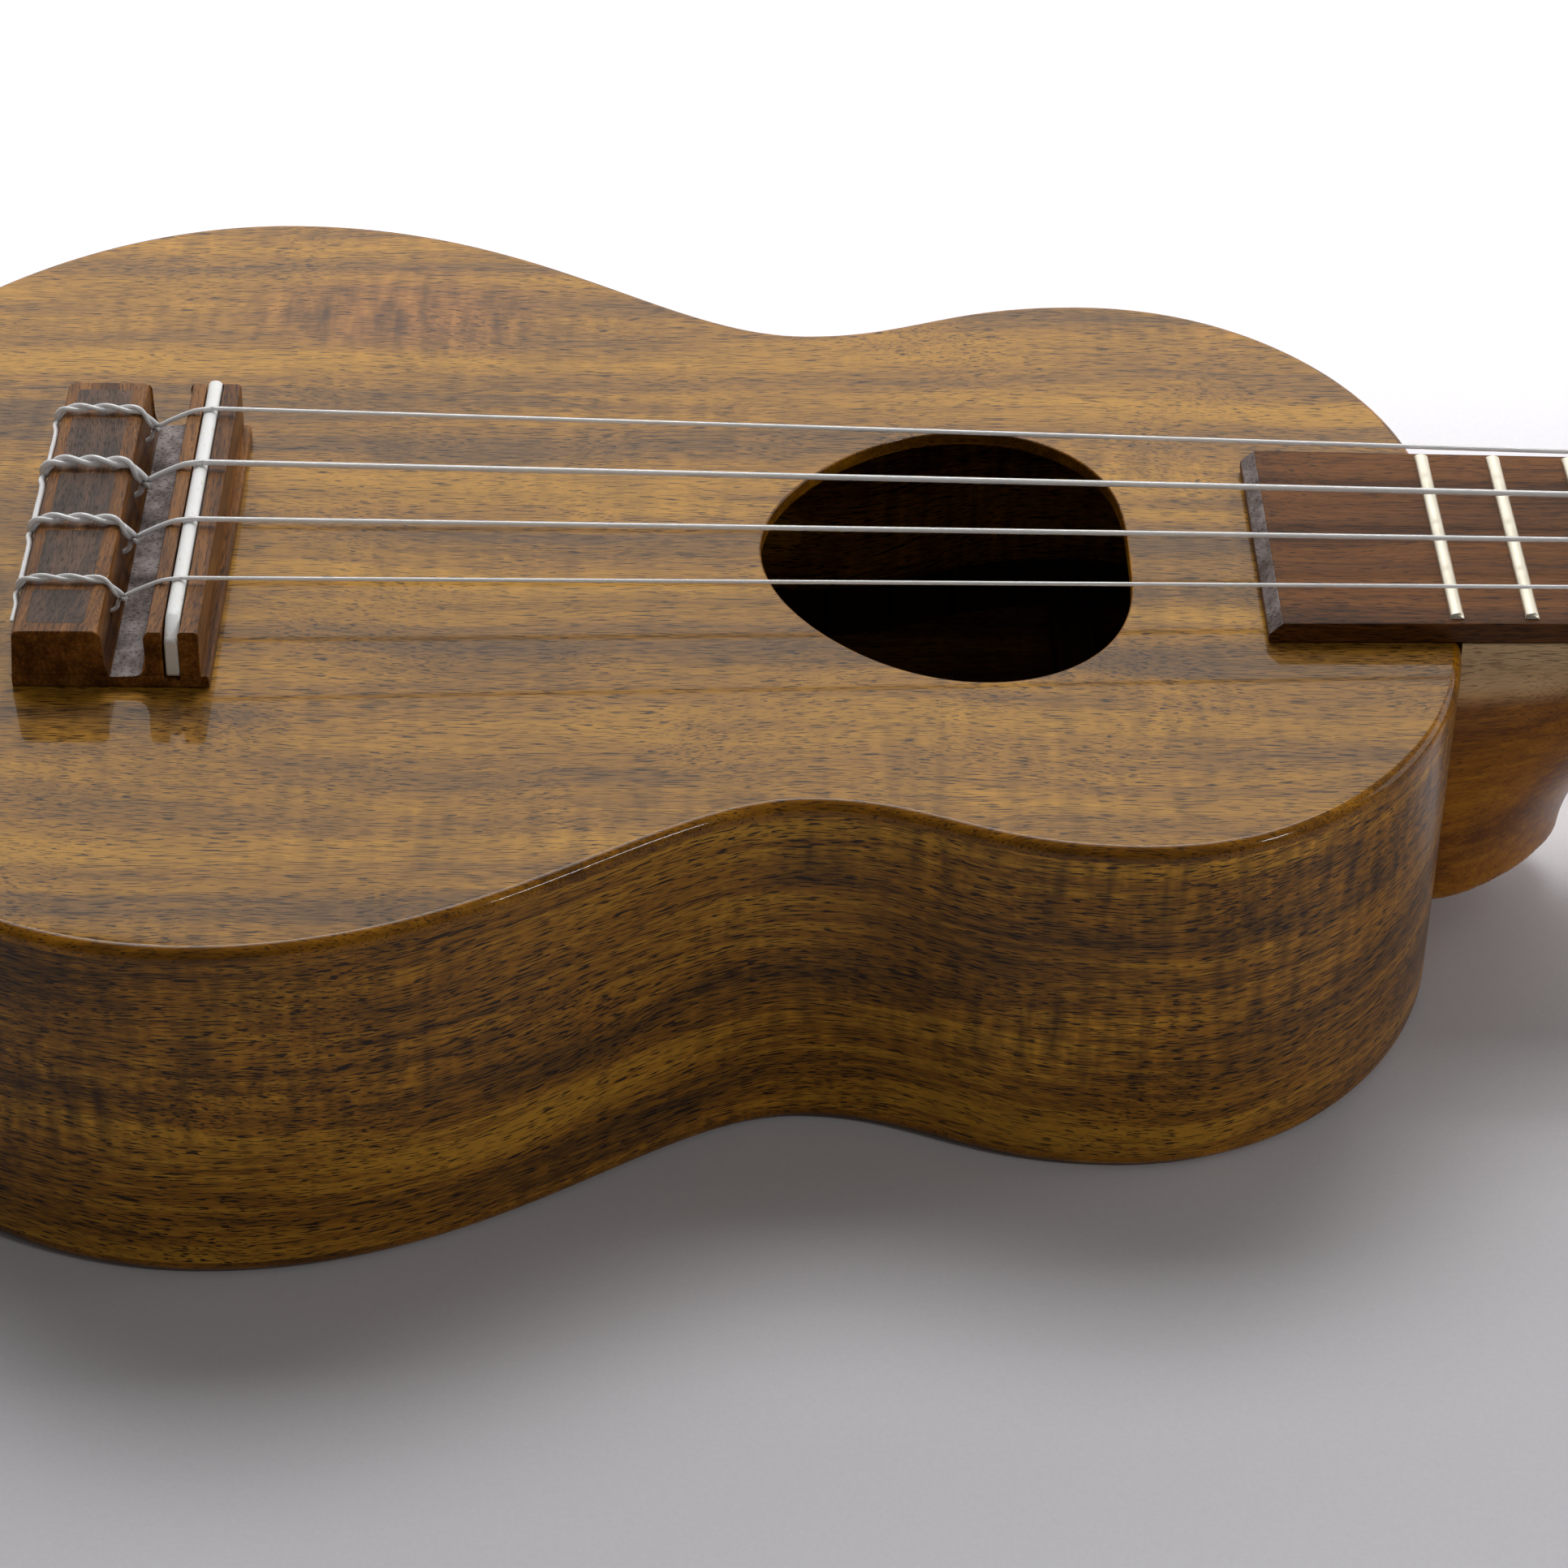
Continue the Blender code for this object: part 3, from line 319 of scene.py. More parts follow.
def wood(name, light, middle, dark, pore, along="object", band=(160, 9), streak=(60, 1.1), pores=(3.6, 0.30),
         pore_level=0.60, curl=0.10, curl_pitch=4.2, gloss=0.22, coat=0.75, relief=0.05, turn=(0, 1, 2),
         ink=0.75, spread=0.10, blush=None, pale_reflection=None, veins=0.38):
    """Lacquered wood. Lengths are in millimetres: along and across the grain."""
    made, tree, output = fresh_material(name)
    place = here(tree)
    if along == "grain":
        place = node(tree, "ShaderNodeAttribute", attribute_name="grain").outputs["Vector"]
    split = node(tree, "ShaderNodeSeparateXYZ", {"Vector": place})
    x, y, z = (split.outputs["XYZ"[k]] for k in turn)
    place = node(tree, "ShaderNodeCombineXYZ", {"X": x, "Y": y, "Z": z}).outputs["Vector"]

    def stretched(length, width):
        return scaled(tree, place, length, width, width)

    # the grain wanders a few millimetres across a board's length
    drift = remap(tree, noise(tree, stretched(90, 45)), 0, 1, -7 * MM, 7 * MM)
    shift = node(tree, "ShaderNodeCombineXYZ", {"Y": drift, "Z": drift}).outputs["Vector"]
    place = vectors(tree, "ADD", place, shift)

    bands = noise(tree, stretched(*band), 3.0, 0.55)
    streaks = noise(tree, stretched(*streak), 3.0, 0.6)
    mixed = node(tree, "ShaderNodeMix", {"Factor": veins, "A": bands, "B": streaks}).outputs["Result"]
    ramp = node(tree, "ShaderNodeValToRGB", {"Fac": mixed})
    first, last = ramp.color_ramp.elements
    first.position, first.color = 0.5 - spread, linear(dark)
    last.position, last.color = 0.5 + spread, linear(light)
    ramp.color_ramp.elements.new(0.5).color = linear(middle)
    ground, swirl = ramp.outputs["Color"], 0.0
    if blush:
        # one redder, strongly rippled patch where the board was cut through a limb's swirl
        away = vectors(tree, "SUBTRACT", place, blush)
        away = vectors(tree, "MULTIPLY", away, (1 / BLUSH_LONG, 1 / BLUSH_WIDE, 1))
        away = node(tree, "ShaderNodeVectorMath", {0: away}, operation="LENGTH").outputs["Value"]
        swirl = remap(tree, away, 0.3, 1.3, 0.5, 0.0, interpolation_type="SMOOTHSTEP")
        ground = blend(tree, swirl, ground, linear("#86502b"))
    if pale_reflection:
        # painted reflection: near the heel the upper part of the neck's side blends towards a pale colour,
        # standing in for a bright window mirrored in the glossy side
        low, high, pale, near, far = pale_reflection
        rise = remap(tree, z, low, high, 0.0, 0.72, interpolation_type="SMOOTHSTEP")
        fade = remap(tree, x, near, far, 1.0, 0.0, interpolation_type="SMOOTHSTEP")
        ground = blend(tree, maths(tree, "MULTIPLY", rise, fade), ground, linear(pale))

    # curl: the fibres lean to and fro, so the board shows light and dark ripples across the grain
    ripple = noise(tree, stretched(curl_pitch, curl_pitch * 5), 2.0, 0.4)
    lean = remap(tree, ripple, 0.3, 0.7, -curl, curl, clamp=False)
    patch = remap(tree, noise(tree, stretched(70, 28), 1.0), 0.42, 0.62, 0.15, 1.0)
    patch = maths(tree, "MULTIPLY_ADD", swirl, 3.0, patch)
    lean = maths(tree, "ADD", maths(tree, "MULTIPLY", lean, patch), 1.0)
    # single fibres, a tenth of a millimetre wide, just break up the colour
    fibre = remap(tree, noise(tree, stretched(1.6, 0.12), 1.0), 0.3, 0.7, 0.88, 1.12)
    lean = maths(tree, "MULTIPLY", lean, fibre)
    figured = node(tree, "ShaderNodeVectorMath", {0: ground, "Scale": lean}, operation="SCALE")

    # pores: short dark dashes along the grain, thicker in some bands than in others
    dashes = noise(tree, stretched(*pores), 1.0, 0.35)
    crowd = remap(tree, bands, 0.35, 0.65, pore_level - 0.035, pore_level + 0.03)
    depth = remap(tree, maths(tree, "SUBTRACT", dashes, crowd), 0.0, 0.03, 0.0, ink)
    surface(tree, output, {
        "Base Color": blend(tree, depth, figured.outputs["Vector"], linear(pore)),
        "Roughness": remap(tree, streaks, 0, 1, 0.38, 0.52), "IOR": 1.5,
        "Coat Weight": coat, "Coat Roughness": gloss, "Coat IOR": 1.5,
        "Normal": relief_of(tree, depth, 0.6, -relief * MM), "Specular IOR Level": 0.08})
    return made


def paint_rim_shade(plate, rim_shade_material):
    """Painted shade on the rounded-over rim: its faces get a darker, more saturated koa under a thinner
    coat, standing in for the bright reflection the flat face catches and the rim misses.
    """
    plate.data.materials.append(rim_shade_material)
    for face in plate.data.polygons:
        if abs(face.normal.z) < 0.995:
            face.material_index = 1


def finish(piece, finish_material, body="ukulele", replaced=()):
    """Gives a piece its material, slot and body, and hides the plain solids it stands for."""
    piece.data.materials.clear()
    piece.data.materials.append(finish_material)
    if replaced:
        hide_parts(*replaced)
    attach(piece, body)


koa_top = wood("koa_quartersawn_satin_lacquer", "#bb8729", "#a07026", "#7b572a", "#2a1808", band=(150, 11),
               pores=(3.4, 0.15), pore_level=0.585, curl=0.22, curl_pitch=2.4, gloss=0.07, coat=0.66,
               ink=0.9, spread=0.115, veins=0.26, blush=(24 * MM, 66 * MM, TOP))
soundboard = body_plate("soundboard_fine", TOP - TOP_PLATE, TOP, True)
finish(soundboard, koa_top, replaced=["soundboard"])
# painted shade: the rim's koa is darker and more saturated than the top's, as the rounded edge misses the
# backdrop's reflection
koa_rim_painted_shade = wood("koa_edge_painted_shade", "#a46c10", "#895709", "#673f05", "#2a1704", pores=(2.0, 0.17),
               pore_level=0.59, curl=0.2, gloss=0.07, coat=0.38)
paint_rim_shade(soundboard, koa_rim_painted_shade)


# The back and the two ribs: darker koa, the ribs bent over a hot iron and met at the tail.
# Gloss lacquer over closely spaced pores makes them look almost black where no light reaches.

BACK_PLATE = corner("back_plate", 1)[2]
RIB = 2.0 * MM
SEAM = 0.05 * MM
TENON_HALF = 8.3 * MM

koa_back = wood("koa_back_gloss_lacquer", "#a87526", "#87591b", "#5c3a10", "#241404", pores=(2.2, 0.17),
                pore_level=0.57, curl=0.25, gloss=0.16, coat=0.5)
koa_side = wood("koa_bent_rib_gloss_lacquer", "#be8722", "#976212", "#68430c", "#1c0f02", along="grain",
                band=(120, 12), pores=(2.8, 0.17), pore_level=0.56, curl=0.42, curl_pitch=2.0,
                gloss=0.2, coat=0.4, ink=0.92)
back = body_plate("back_fine", BACK_PLATE, 0, False)
finish(back, koa_back, replaced=["back_plate"])
# the back's rounded rim gets the same painted shade
paint_rim_shade(back, koa_rim_painted_shade)


def rib(name, side):
    """A bent rib as a closed band whose grain coordinate runs along the bend."""
    outer, inner = inset_half(0), inset_half(RIB)
    outer[0], inner[0] = (outer[0][0], SEAM), (inner[0][0], SEAM)
    outer.append((JOINT_X, TENON_HALF))
    inner.append((JOINT_X - RIB, TENON_HALF))
    levels = [BACK_PLATE + (TOP - TOP_PLATE - BACK_PLATE) * i / 6 for i in range(7)]
    run, runs = 0.0, [0.0]
    for before, after in zip(outer, outer[1:]):
        run += math.dist(before, after)
        runs.append(run)
    shape = bmesh.new()
    grain = shape.verts.layers.float_vector.new("grain")
    columns = []
    for (x, y), (ix, iy), along_bend in zip(outer, inner, runs):
        loop = [(x, y, z, 0) for z in levels] + [(ix, iy, z, RIB) for z in reversed(levels)]
        column = []
        for px, py, z, deep in loop:
            vert = shape.verts.new((px, side * py, z))
            vert[grain] = (along_bend + side, z, deep)
            column.append(vert)
        columns.append(column)
    for left, right in zip(columns, columns[1:]):
        for i in range(len(left)):
            j = (i + 1) % len(left)
            shape.faces.new((left[i], left[j], right[j], right[i]))
    shape.faces.new(columns[0])
    shape.faces.new(columns[-1])
    return to_object(name, shape)


for side_name, side in (("bass", 1), ("treble", -1)):
    made_rib = rib("rib_%s_fine" % side_name, side)
    finish(made_rib, koa_side, replaced=["side_" + side_name])


# Inside the body: mahogany end blocks, spruce struts and braces, a maple bridge plate and kerfed linings.
# They are planed and glued but never lacquered, so through the soundhole they are dull, dry wood.

def dry_wood(name, light, dark, ring, turn=(0, 1, 2), kerf=0.0):
    """Bare planed wood: growth lines `ring` millimetres apart, matt, with an optional saw kerf pitch whose
    cuts are drawn as dark painted shade.
    """
    made, tree, output = fresh_material(name)
    split = node(tree, "ShaderNodeSeparateXYZ", {"Vector": here(tree)})
    x, y, z = (split.outputs["XYZ"[k]] for k in turn)
    place = node(tree, "ShaderNodeCombineXYZ", {"X": x, "Y": y, "Z": z}).outputs["Vector"]
    lines = noise(tree, scaled(tree, place, 60, ring, ring), 3.0)
    fuzz = noise(tree, scaled(tree, place, 3, 0.2, 0.2), 1.0)
    height = node(tree, "ShaderNodeMix", {"Factor": 0.35, "A": lines, "B": fuzz}).outputs["Result"]
    colour = blend(tree, remap(tree, height, 0.35, 0.65), linear(dark), linear(light))
    if kerf:
        # painted shade: dark bands at the kerf pitch stand in for the shade inside the saw cuts
        saw = maths(tree, "PINGPONG", maths(tree, "MULTIPLY", split.outputs["X"], 1 / (kerf * MM)), 1.0)
        saw = remap(tree, saw, 0.06, 0.14)
        height = maths(tree, "ADD", saw, height)
        colour = blend(tree, saw, linear("#1a0f06"), colour)
    surface(tree, output, {"Base Color": colour, "Roughness": 0.78, "Specular IOR Level": 0.25,
                           "Normal": relief_of(tree, height, 0.4, 0.25 * MM)})
    return made


def reface(node_name, new_material):
    """Gives a frame node a better material and leaves its shape alone."""
    for slot in nodes[node_name].material_slots:
        slot.material = new_material


spruce_across = dry_wood("spruce_brace_planed", "#5c4726", "#402f16", 1.1, turn=(1, 0, 2))
spruce_along = dry_wood("spruce_strut_planed", "#5c4726", "#402f16", 1.1)
maple_plate = dry_wood("maple_plate_planed", "#5e4a2c", "#46351c", 2.0)
block_mahogany = dry_wood("mahogany_block_sawn", "#4c3018", "#33200e", 1.4, turn=(2, 0, 1))
lining_cedar = dry_wood("cedar_lining_kerfed", "#4e3719", "#38260f", 1.2, kerf=5.0)
for part_of_name, inner_wood in (("brace", spruce_across), ("strut", spruce_along), ("lining", lining_cedar),
                                 ("bridge_plate", maple_plate), ("block", block_mahogany)):
    for name in nodes:
        if part_of_name in name:
            reface(name, inner_wood)


# The neck: mahogany carved in one piece from heel cap to headstock, with a tenon glued into the neck block.
# It is sanded round, and the heel sweeps up into the shaft under a golden satin lacquer.

NUT_X, NUT_END_X = corner("nut", 0)[0], corner("nut", 1)[0]
BOARD_X, BOARD_HALF, NUT_HALF = corner("fretboard", 0)[0], corner("fretboard", 1)[1], corner("nut", 1)[1]
GAP = 0.3 * MM
SHAFT_DEPTH, SHAFT_DEPTH_AT_NUT, SHAFT_FLANK = 15.3 * MM, 13.5 * MM, 2.0 * MM
HEEL_CAP, HEEL_CAP_HALF, HEEL_CAP_LENGTH, HEEL_LENGTH = 6.0 * MM, 18.6 * MM, 21.5 * MM, 58.0 * MM
HEEL_EDGE, HEEL_SWEEP, HEEL_ROUNDNESS, HEEL_FULLNESS = 0.5 * MM, 2.4, 1.3, 1.5
HEAD_ANGLE, HEAD_LENGTH, HEAD_THICKNESS = math.radians(12), 104.0 * MM, 12.0 * MM
HEAD_SHOULDER, HEAD_SHOULDER_HALF, HEAD_END_HALF = 18.0 * MM, 25.5 * MM, 28.5 * MM
HEAD_CORNER, HEAD_END_BULGE, HEAD_EDGE = 9.0 * MM, 4.0 * MM, 1.2 * MM
SPARE = 3.0 * MM                # extra wood above the glue faces, planed off at the end
CARVED_GRID = 0.8 * MM
head_frame = Matrix.Translation((NUT_END_X + GAP, 0, TOP)) @ Matrix.Rotation(HEAD_ANGLE, 4, "Y")
TUNER_NEAR, TUNER_FAR, TUNER_SIDE = 30 * MM, 70 * MM, 16 * MM
TUNERS = {"g": (TUNER_NEAR, TUNER_SIDE), "c": (TUNER_FAR, TUNER_SIDE),
          "e": (TUNER_FAR, -TUNER_SIDE), "a": (TUNER_NEAR, -TUNER_SIDE)}
POST_RADIUS = 2.9 * MM


def board_half(x):
    """Half of the fretboard's and the shaft's width at x."""
    return BOARD_HALF + (NUT_HALF - BOARD_HALF) * (x - BOARD_X) / (NUT_X - BOARD_X)


def loft(name, loops, place=None, sharp=30):
    """A closed object through loops of equal length."""
    shape = bmesh.new()
    rings = add_rings(shape, loops)
    shape.faces.new(rings[0])
    shape.faces.new(rings[-1])
    if place is not None:
        bmesh.ops.transform(shape, matrix=place, verts=shape.verts)
    return to_object(name, shape, sharp)


def slab(name, outline, start, end, axis, place=None):
    """An outline pushed along one axis: X outlines are (y, z), Y outlines (x, z), Z outlines (x, y)."""
    loops = []
    for depth in (start, end):
        if axis == "X":
            loops.append([(depth, a, b) for a, b in outline])
        elif axis == "Y":
            loops.append([(a, depth, b) for a, b in outline])
        else:
            loops.append([(a, b, depth) for a, b in outline])
    return loft(name, loops, place)


def settle(piece):
    """Turns a piece's modifiers into plain mesh."""
    shaped = bpy.data.meshes.new_from_object(piece.evaluated_get(bpy.context.evaluated_depsgraph_get()))
    piece.modifiers.clear()
    old, piece.data = piece.data, shaped
    bpy.data.meshes.remove(old)


def carve(piece, operation, tools):
    """Joins or cuts a piece with tools, which are used up."""
    for modifier in list(piece.modifiers):
        piece.modifiers.remove(modifier)
    for tool in tools:
        tool.modifiers.clear()
        joint = piece.modifiers.new("carve", "BOOLEAN")
        joint.operation, joint.solver, joint.object = operation, "EXACT", tool
    settle(piece)
    for tool in tools:
        bpy.data.objects.remove(tool, do_unlink=True)


def soften(piece, sharp=30):
    """Smooth shading with kept edges after carving."""
    piece.data.shade_smooth()
    piece.data.set_sharp_from_angle(angle=math.radians(sharp))
    weighted = piece.modifiers.new("flat_faces", "WEIGHTED_NORMAL")
    weighted.keep_sharp = True


def tube_loops(radius, heights, steps=32):
    turns = [2 * math.pi * i / steps for i in range(steps)]
    return [[(radius * math.cos(t), radius * math.sin(t), h) for t in turns] for h in heights]


def post_drills(low, high, radius):
    """Four round cutters where the tuner posts pass through the headstock."""
    return [loft("drill", tube_loops(radius, (low, high)), head_frame @ Matrix.Translation((u, v, 0)))
            for u, v in TUNERS.values()]


def head_outline(start, inset=0.0):
    """The headstock's outline in its own plane, moved inwards by inset."""
    corner_end = (HEAD_LENGTH - HEAD_END_BULGE - inset, HEAD_END_HALF - HEAD_CORNER)
    corner_start = (corner_end[0] - HEAD_CORNER, HEAD_END_HALF - inset)
    first, shoulder = (start + inset, NUT_HALF - GAP - inset), (HEAD_SHOULDER, HEAD_SHOULDER_HALF - inset)
    middle, tip = (start + HEAD_SHOULDER) / 2, HEAD_LENGTH - inset
    half = bezier(first, (middle, first[1]), (middle, shoulder[1]), shoulder, 14) + [shoulder]
    corner_point = (corner_end[0], corner_start[1])
    half += bezier(corner_start, corner_point, corner_point, corner_end, 12)
    half += bezier(corner_end, (tip, corner_end[1] * 0.5), (tip, corner_end[1] * 0.25), (tip, 0), 10)
    return half + [(tip, 0)] + [(x, -y) for x, y in reversed(half)]


def shaft_section(x, top, half, depth, steps=40):
    loop = [(x, half, top + SPARE)]
    for i in range(steps + 1):
        turn = math.pi * i / steps
        loop.append((x, half * math.cos(turn), top - SHAFT_FLANK - (depth - SHAFT_FLANK) * math.sin(turn)))
    return loop + [(x, -half, top + SPARE)]


def heel_slices(steps=48, levels=36):
    """Level slices from the cap up into the shaft."""
    shaft = TOP - SHAFT_DEPTH
    heights = [(HEEL_CAP, HEEL_EDGE)]
    heights += [(HEEL_CAP + HEEL_EDGE + (shaft - HEEL_CAP - HEEL_EDGE) * (k / levels) ** 0.8, 0)
                for k in range(levels + 1)]
    heights.append((TOP - SHAFT_FLANK, 0))
    slices = []
    for z, edge in heights:
        rise = min(1, (z - HEEL_CAP) / (shaft - HEEL_CAP))
        half = HEEL_CAP_HALF + (board_half(JOINT_X) - GAP - HEEL_CAP_HALF) * rise ** 1.5 - edge
        reach = HEEL_CAP_LENGTH + (HEEL_LENGTH - HEEL_CAP_LENGTH) * rise ** HEEL_SWEEP - edge
        ring = [(JOINT_X - SPARE, half, z)]
        for i in range(steps + 1):
            side = 1 - 2 * i / steps
            bow = max(0.0, 1 - abs(side) ** HEEL_ROUNDNESS) ** (1 / HEEL_FULLNESS)
            ring.append((JOINT_X + GAP + reach * bow, half * side, z))
        slices.append(ring + [(JOINT_X - SPARE, -half, z)])
    return slices


pivot_x = NUT_END_X + GAP
sections = []
for k in range(9):
    x = JOINT_X - SPARE + (pivot_x - JOINT_X + SPARE) * k / 8
    depth = SHAFT_DEPTH + (SHAFT_DEPTH_AT_NUT - SHAFT_DEPTH) * k / 8
    sections.append(shaft_section(x, TOP, board_half(x), depth))
volute = HEAD_SHOULDER * 0.6
sections.append(shaft_section(pivot_x + volute, TOP - volute * math.tan(HEAD_ANGLE), NUT_HALF - 2 * MM,
                              HEAD_THICKNESS))
neck = loft("neck_fine", sections)
carve(neck, "UNION", [loft("heel_blank", heel_slices())])
carving = neck.modifiers.new("carving", "REMESH")
carving.mode, carving.voxel_size = "VOXEL", CARVED_GRID
sanding = neck.modifiers.new("sanding", "SMOOTH")
sanding.factor, sanding.iterations = 0.5, 14
settle(neck)
rings = []
for turn in (0, 30, 60, 90):
    inset = HEAD_EDGE * (1 - math.sin(math.radians(turn)))
    depth = HEAD_THICKNESS - HEAD_EDGE * (1 - math.cos(math.radians(turn)))
    rings.append([(x, y, -depth) for x, y in head_outline(2 * GAP, inset)])
rings.append([(x, y, SPARE) for x, y in head_outline(2 * GAP)])
carve(neck, "UNION", [loft("head_blank", rings, head_frame)])
far = pivot_x + 0.13 * math.cos(HEAD_ANGLE)
planed = [(0.1, -0.01), (JOINT_X, -0.01), (JOINT_X, TOP), (pivot_x, TOP),
          (far, TOP - 0.13 * math.sin(HEAD_ANGLE)), (far, TOP + 0.05), (0.1, TOP + 0.05)]
carve(neck, "DIFFERENCE", [slab("glue_faces", planed, -0.06, 0.06, "Y")])
carve(neck, "DIFFERENCE", post_drills(-2 * HEAD_THICKNESS, HEAD_THICKNESS, POST_RADIUS + GAP))
tenon = [(JOINT_X - 12 * MM, -8 * MM), (JOINT_X + 5 * MM, -8 * MM), (JOINT_X + 5 * MM, 8 * MM),
         (JOINT_X - 12 * MM, 8 * MM)]
carve(neck, "UNION", [slab("tenon", tenon, 8.3 * MM, TOP - TOP_PLATE - GAP, "Z")])
soften(neck)
# the pale band high on the neck's side near the heel is a painted reflection
neck_mahogany = wood("mahogany_neck_satin_lacquer", "#b87714", "#9c5f0c", "#794406", "#3a1e08",
                     band=(140, 11), pores=(2.6, 0.16), pore_level=0.59, curl=0.15, gloss=0.12, coat=0.3,
                     ink=0.5, pale_reflection=(TOP - 12 * MM, TOP - 7 * MM, "#e2c294", JOINT_X + 35 * MM,
                                       JOINT_X + 90 * MM))
finish(neck, neck_mahogany, replaced=["neck"])

VENEER_LOW, VENEER_TOP, VENEER_START = 0.3 * MM, 1.8 * MM, 1.2 * MM
rounding = 0.35 * MM
rings = [[(x, y, VENEER_LOW) for x, y in head_outline(VENEER_START)]]
for turn in (0, 30, 60, 90):
    inset = rounding * (1 - math.cos(math.radians(turn)))
    height = VENEER_TOP - rounding * (1 - math.sin(math.radians(turn)))
    rings.append([(x, y, height) for x, y in head_outline(VENEER_START, inset)])
veneer = loft("headstock_veneer_fine", rings, head_frame)
carve(veneer, "DIFFERENCE", post_drills(-2 * MM, 4 * MM, POST_RADIUS + GAP))
soften(veneer)
finish(veneer, koa_top, replaced=["headstock_veneer"])


# The fretboard: a rosewood board planed to 3 mm, its end over the body chamfered with a plane.
# It is oiled, not lacquered, and its chamfer faces are coloured a pale grey rosewood.

BOARD_LOW, BOARD_HIGH = corner("fretboard", 0)[2], corner("fretboard", 1)[2]
BOARD_BEVEL = 1.8 * MM
SCALE = NUT_X

rosewood_board = wood("rosewood_board_oiled", "#78491b", "#643a13", "#45270b", "#221106", band=(120, 5),
                      streak=(50, 0.7), pores=(3.5, 0.17), pore_level=0.575, curl=0.05, gloss=0.4, coat=0.14,
                      relief=0.05)
rosewood_pale_grey = wood("rosewood_pale_grey_face", "#9a8f8d", "#7d716e", "#5c4c46", "#2c1a14", band=(5, 5),
                       streak=(1.2, 2.6), pores=(0.5, 0.30), pore_level=0.60, curl=0.1, gloss=0.5, coat=0.3)


def edge_rounded(shape, offset, least=25):
    """Rounds every edge sharper than `least` degrees."""
    edges = [e for e in shape.edges if e.is_manifold and e.calc_face_angle(0) > math.radians(least)]
    bmesh.ops.bevel(shape, geom=edges, offset=offset, segments=2, profile=0.6, affect="EDGES")


shape = bmesh.new()
board_profile = [(BOARD_X, BOARD_LOW), (NUT_X - GAP, BOARD_LOW), (NUT_X - GAP, BOARD_HIGH),
                 (BOARD_X + BOARD_BEVEL, BOARD_HIGH), (BOARD_X, BOARD_HIGH - BOARD_BEVEL)]
rings = add_rings(shape, [[(x, side * board_half(x), z) for x, z in board_profile] for side in (-1, 1)])
shape.faces.new(rings[0])
shape.faces.new(rings[1])
bmesh.ops.recalc_face_normals(shape, faces=shape.faces)
edge_rounded(shape, 0.3 * MM)
board = to_object("fretboard_fine", shape)
finish(board, rosewood_board, replaced=["fretboard"])
board.data.materials.append(rosewood_pale_grey)
for face in board.data.polygons:
    if face.normal.x < -0.4 and face.normal.z > 0.3 and face.center.x < BOARD_X + 2 * BOARD_BEVEL:
        face.material_index = 1
dot_places = [SCALE * (2 ** (-n / 12) + 2 ** (-(n - 1) / 12)) / 2 for n in (5, 7, 10)]
carve(board, "DIFFERENCE", [loft("dot_drill", tube_loops(2.9 * MM, (-1.3 * MM, 2 * MM)),
                                 Matrix.Translation((x, 0, BOARD_HIGH))) for x in dot_places])
soften(board)


# Position dots: discs cut from pearl shell, pressed into drilled pockets and sanded flush.
# Shell is built of thin layers, so its colour drifts from warm to cool white under a glassy polish.

pearl, tree, output = fresh_material("pearl_shell_polished")
layers = noise(tree, scaled(tree, here(tree), 1.6, 0.8, 1.6), 3.0, distortion=1.2)
sheen = blend(tree, remap(tree, layers, 0.35, 0.65), linear("#b9c4c4"), linear("#e9e3d4"))
surface(tree, output, {"Base Color": sheen, "Roughness": 0.18, "Coat Weight": 0.6, "Coat Roughness": 0.05})
for name in nodes:
    if name.startswith("fret_dot"):
        reface(name, pearl)


# Frets: nickel-silver wire with a low crown, hammered into saw cuts and filed off just inside the board.
# The filed ends slope inwards, and fine polishing lines run along each crown.

fret_metal, tree, output = fresh_material("nickel_silver_fret_polished")
lines = noise(tree, scaled(tree, here(tree), 0.15, 6, 0.15))
surface(tree, output, {"Base Color": blend(tree, lines, linear("#cfc6b2"), linear("#f1ead8")),
                       "Metallic": 1.0, "Roughness": remap(tree, lines, 0, 1, 0.26, 0.46),
                       "Normal": relief_of(tree, lines, 0.15, 0.02 * MM)})

FRET_HALF, FRET_HEIGHT, FRET_INSET = 1.0 * MM, 0.8 * MM, 1.0 * MM
fret_seat = BOARD_HIGH + 0.02 * MM
for number in range(1, 13):
    x = SCALE * 2 ** (-number / 12)
    reach = board_half(x) - FRET_INSET
    loops = []
    for from_end, tall in ((0, 0.22), (0.12, 0.5), (0.32, 0.85), (0.6, 1.0)):
        turns = [math.pi * i / 12 for i in range(13)]
        arc = [(-FRET_HALF * math.cos(t), FRET_HEIGHT * tall * math.sin(t) ** 0.8) for t in turns]
        loops.append([(x + a, -reach + from_end * MM, fret_seat + b) for a, b in arc])
    loops += [[(a, -b, c) for a, b, c in loop] for loop in reversed(loops)]
    fret = loft("fret_%02d_fine" % number, loops, sharp=50)
    finish(fret, fret_metal, replaced=["fret_%02d" % number])


# Saddle and nut: bleached bone, sawn, filed to shape and polished until it has a soft glow.
# The saddle stands in the bridge's open slot with a rounded crown; the nut has a notch for each string.

bone, tree, output = fresh_material("bone_bleached_polished")
cloud = noise(tree, scaled(tree, here(tree), 5, 5, 5), 3.0)
canals = remap(tree, noise(tree, scaled(tree, here(tree), 0.25, 1.6, 0.25), 1.0), 0.66, 0.76)
tone = blend(tree, canals, blend(tree, cloud, linear("#f4f3ec"), linear("#ffffff")), linear("#dcd6c6"))
surface(tree, output, {
    "Base Color": tone, "Roughness": 0.32, "Subsurface Weight": 0.25, "Subsurface Radius": (1.2, 1.0, 0.8),
    "Subsurface Scale": 0.6 * MM, "Normal": relief_of(tree, canals, 0.2, -0.03 * MM)})

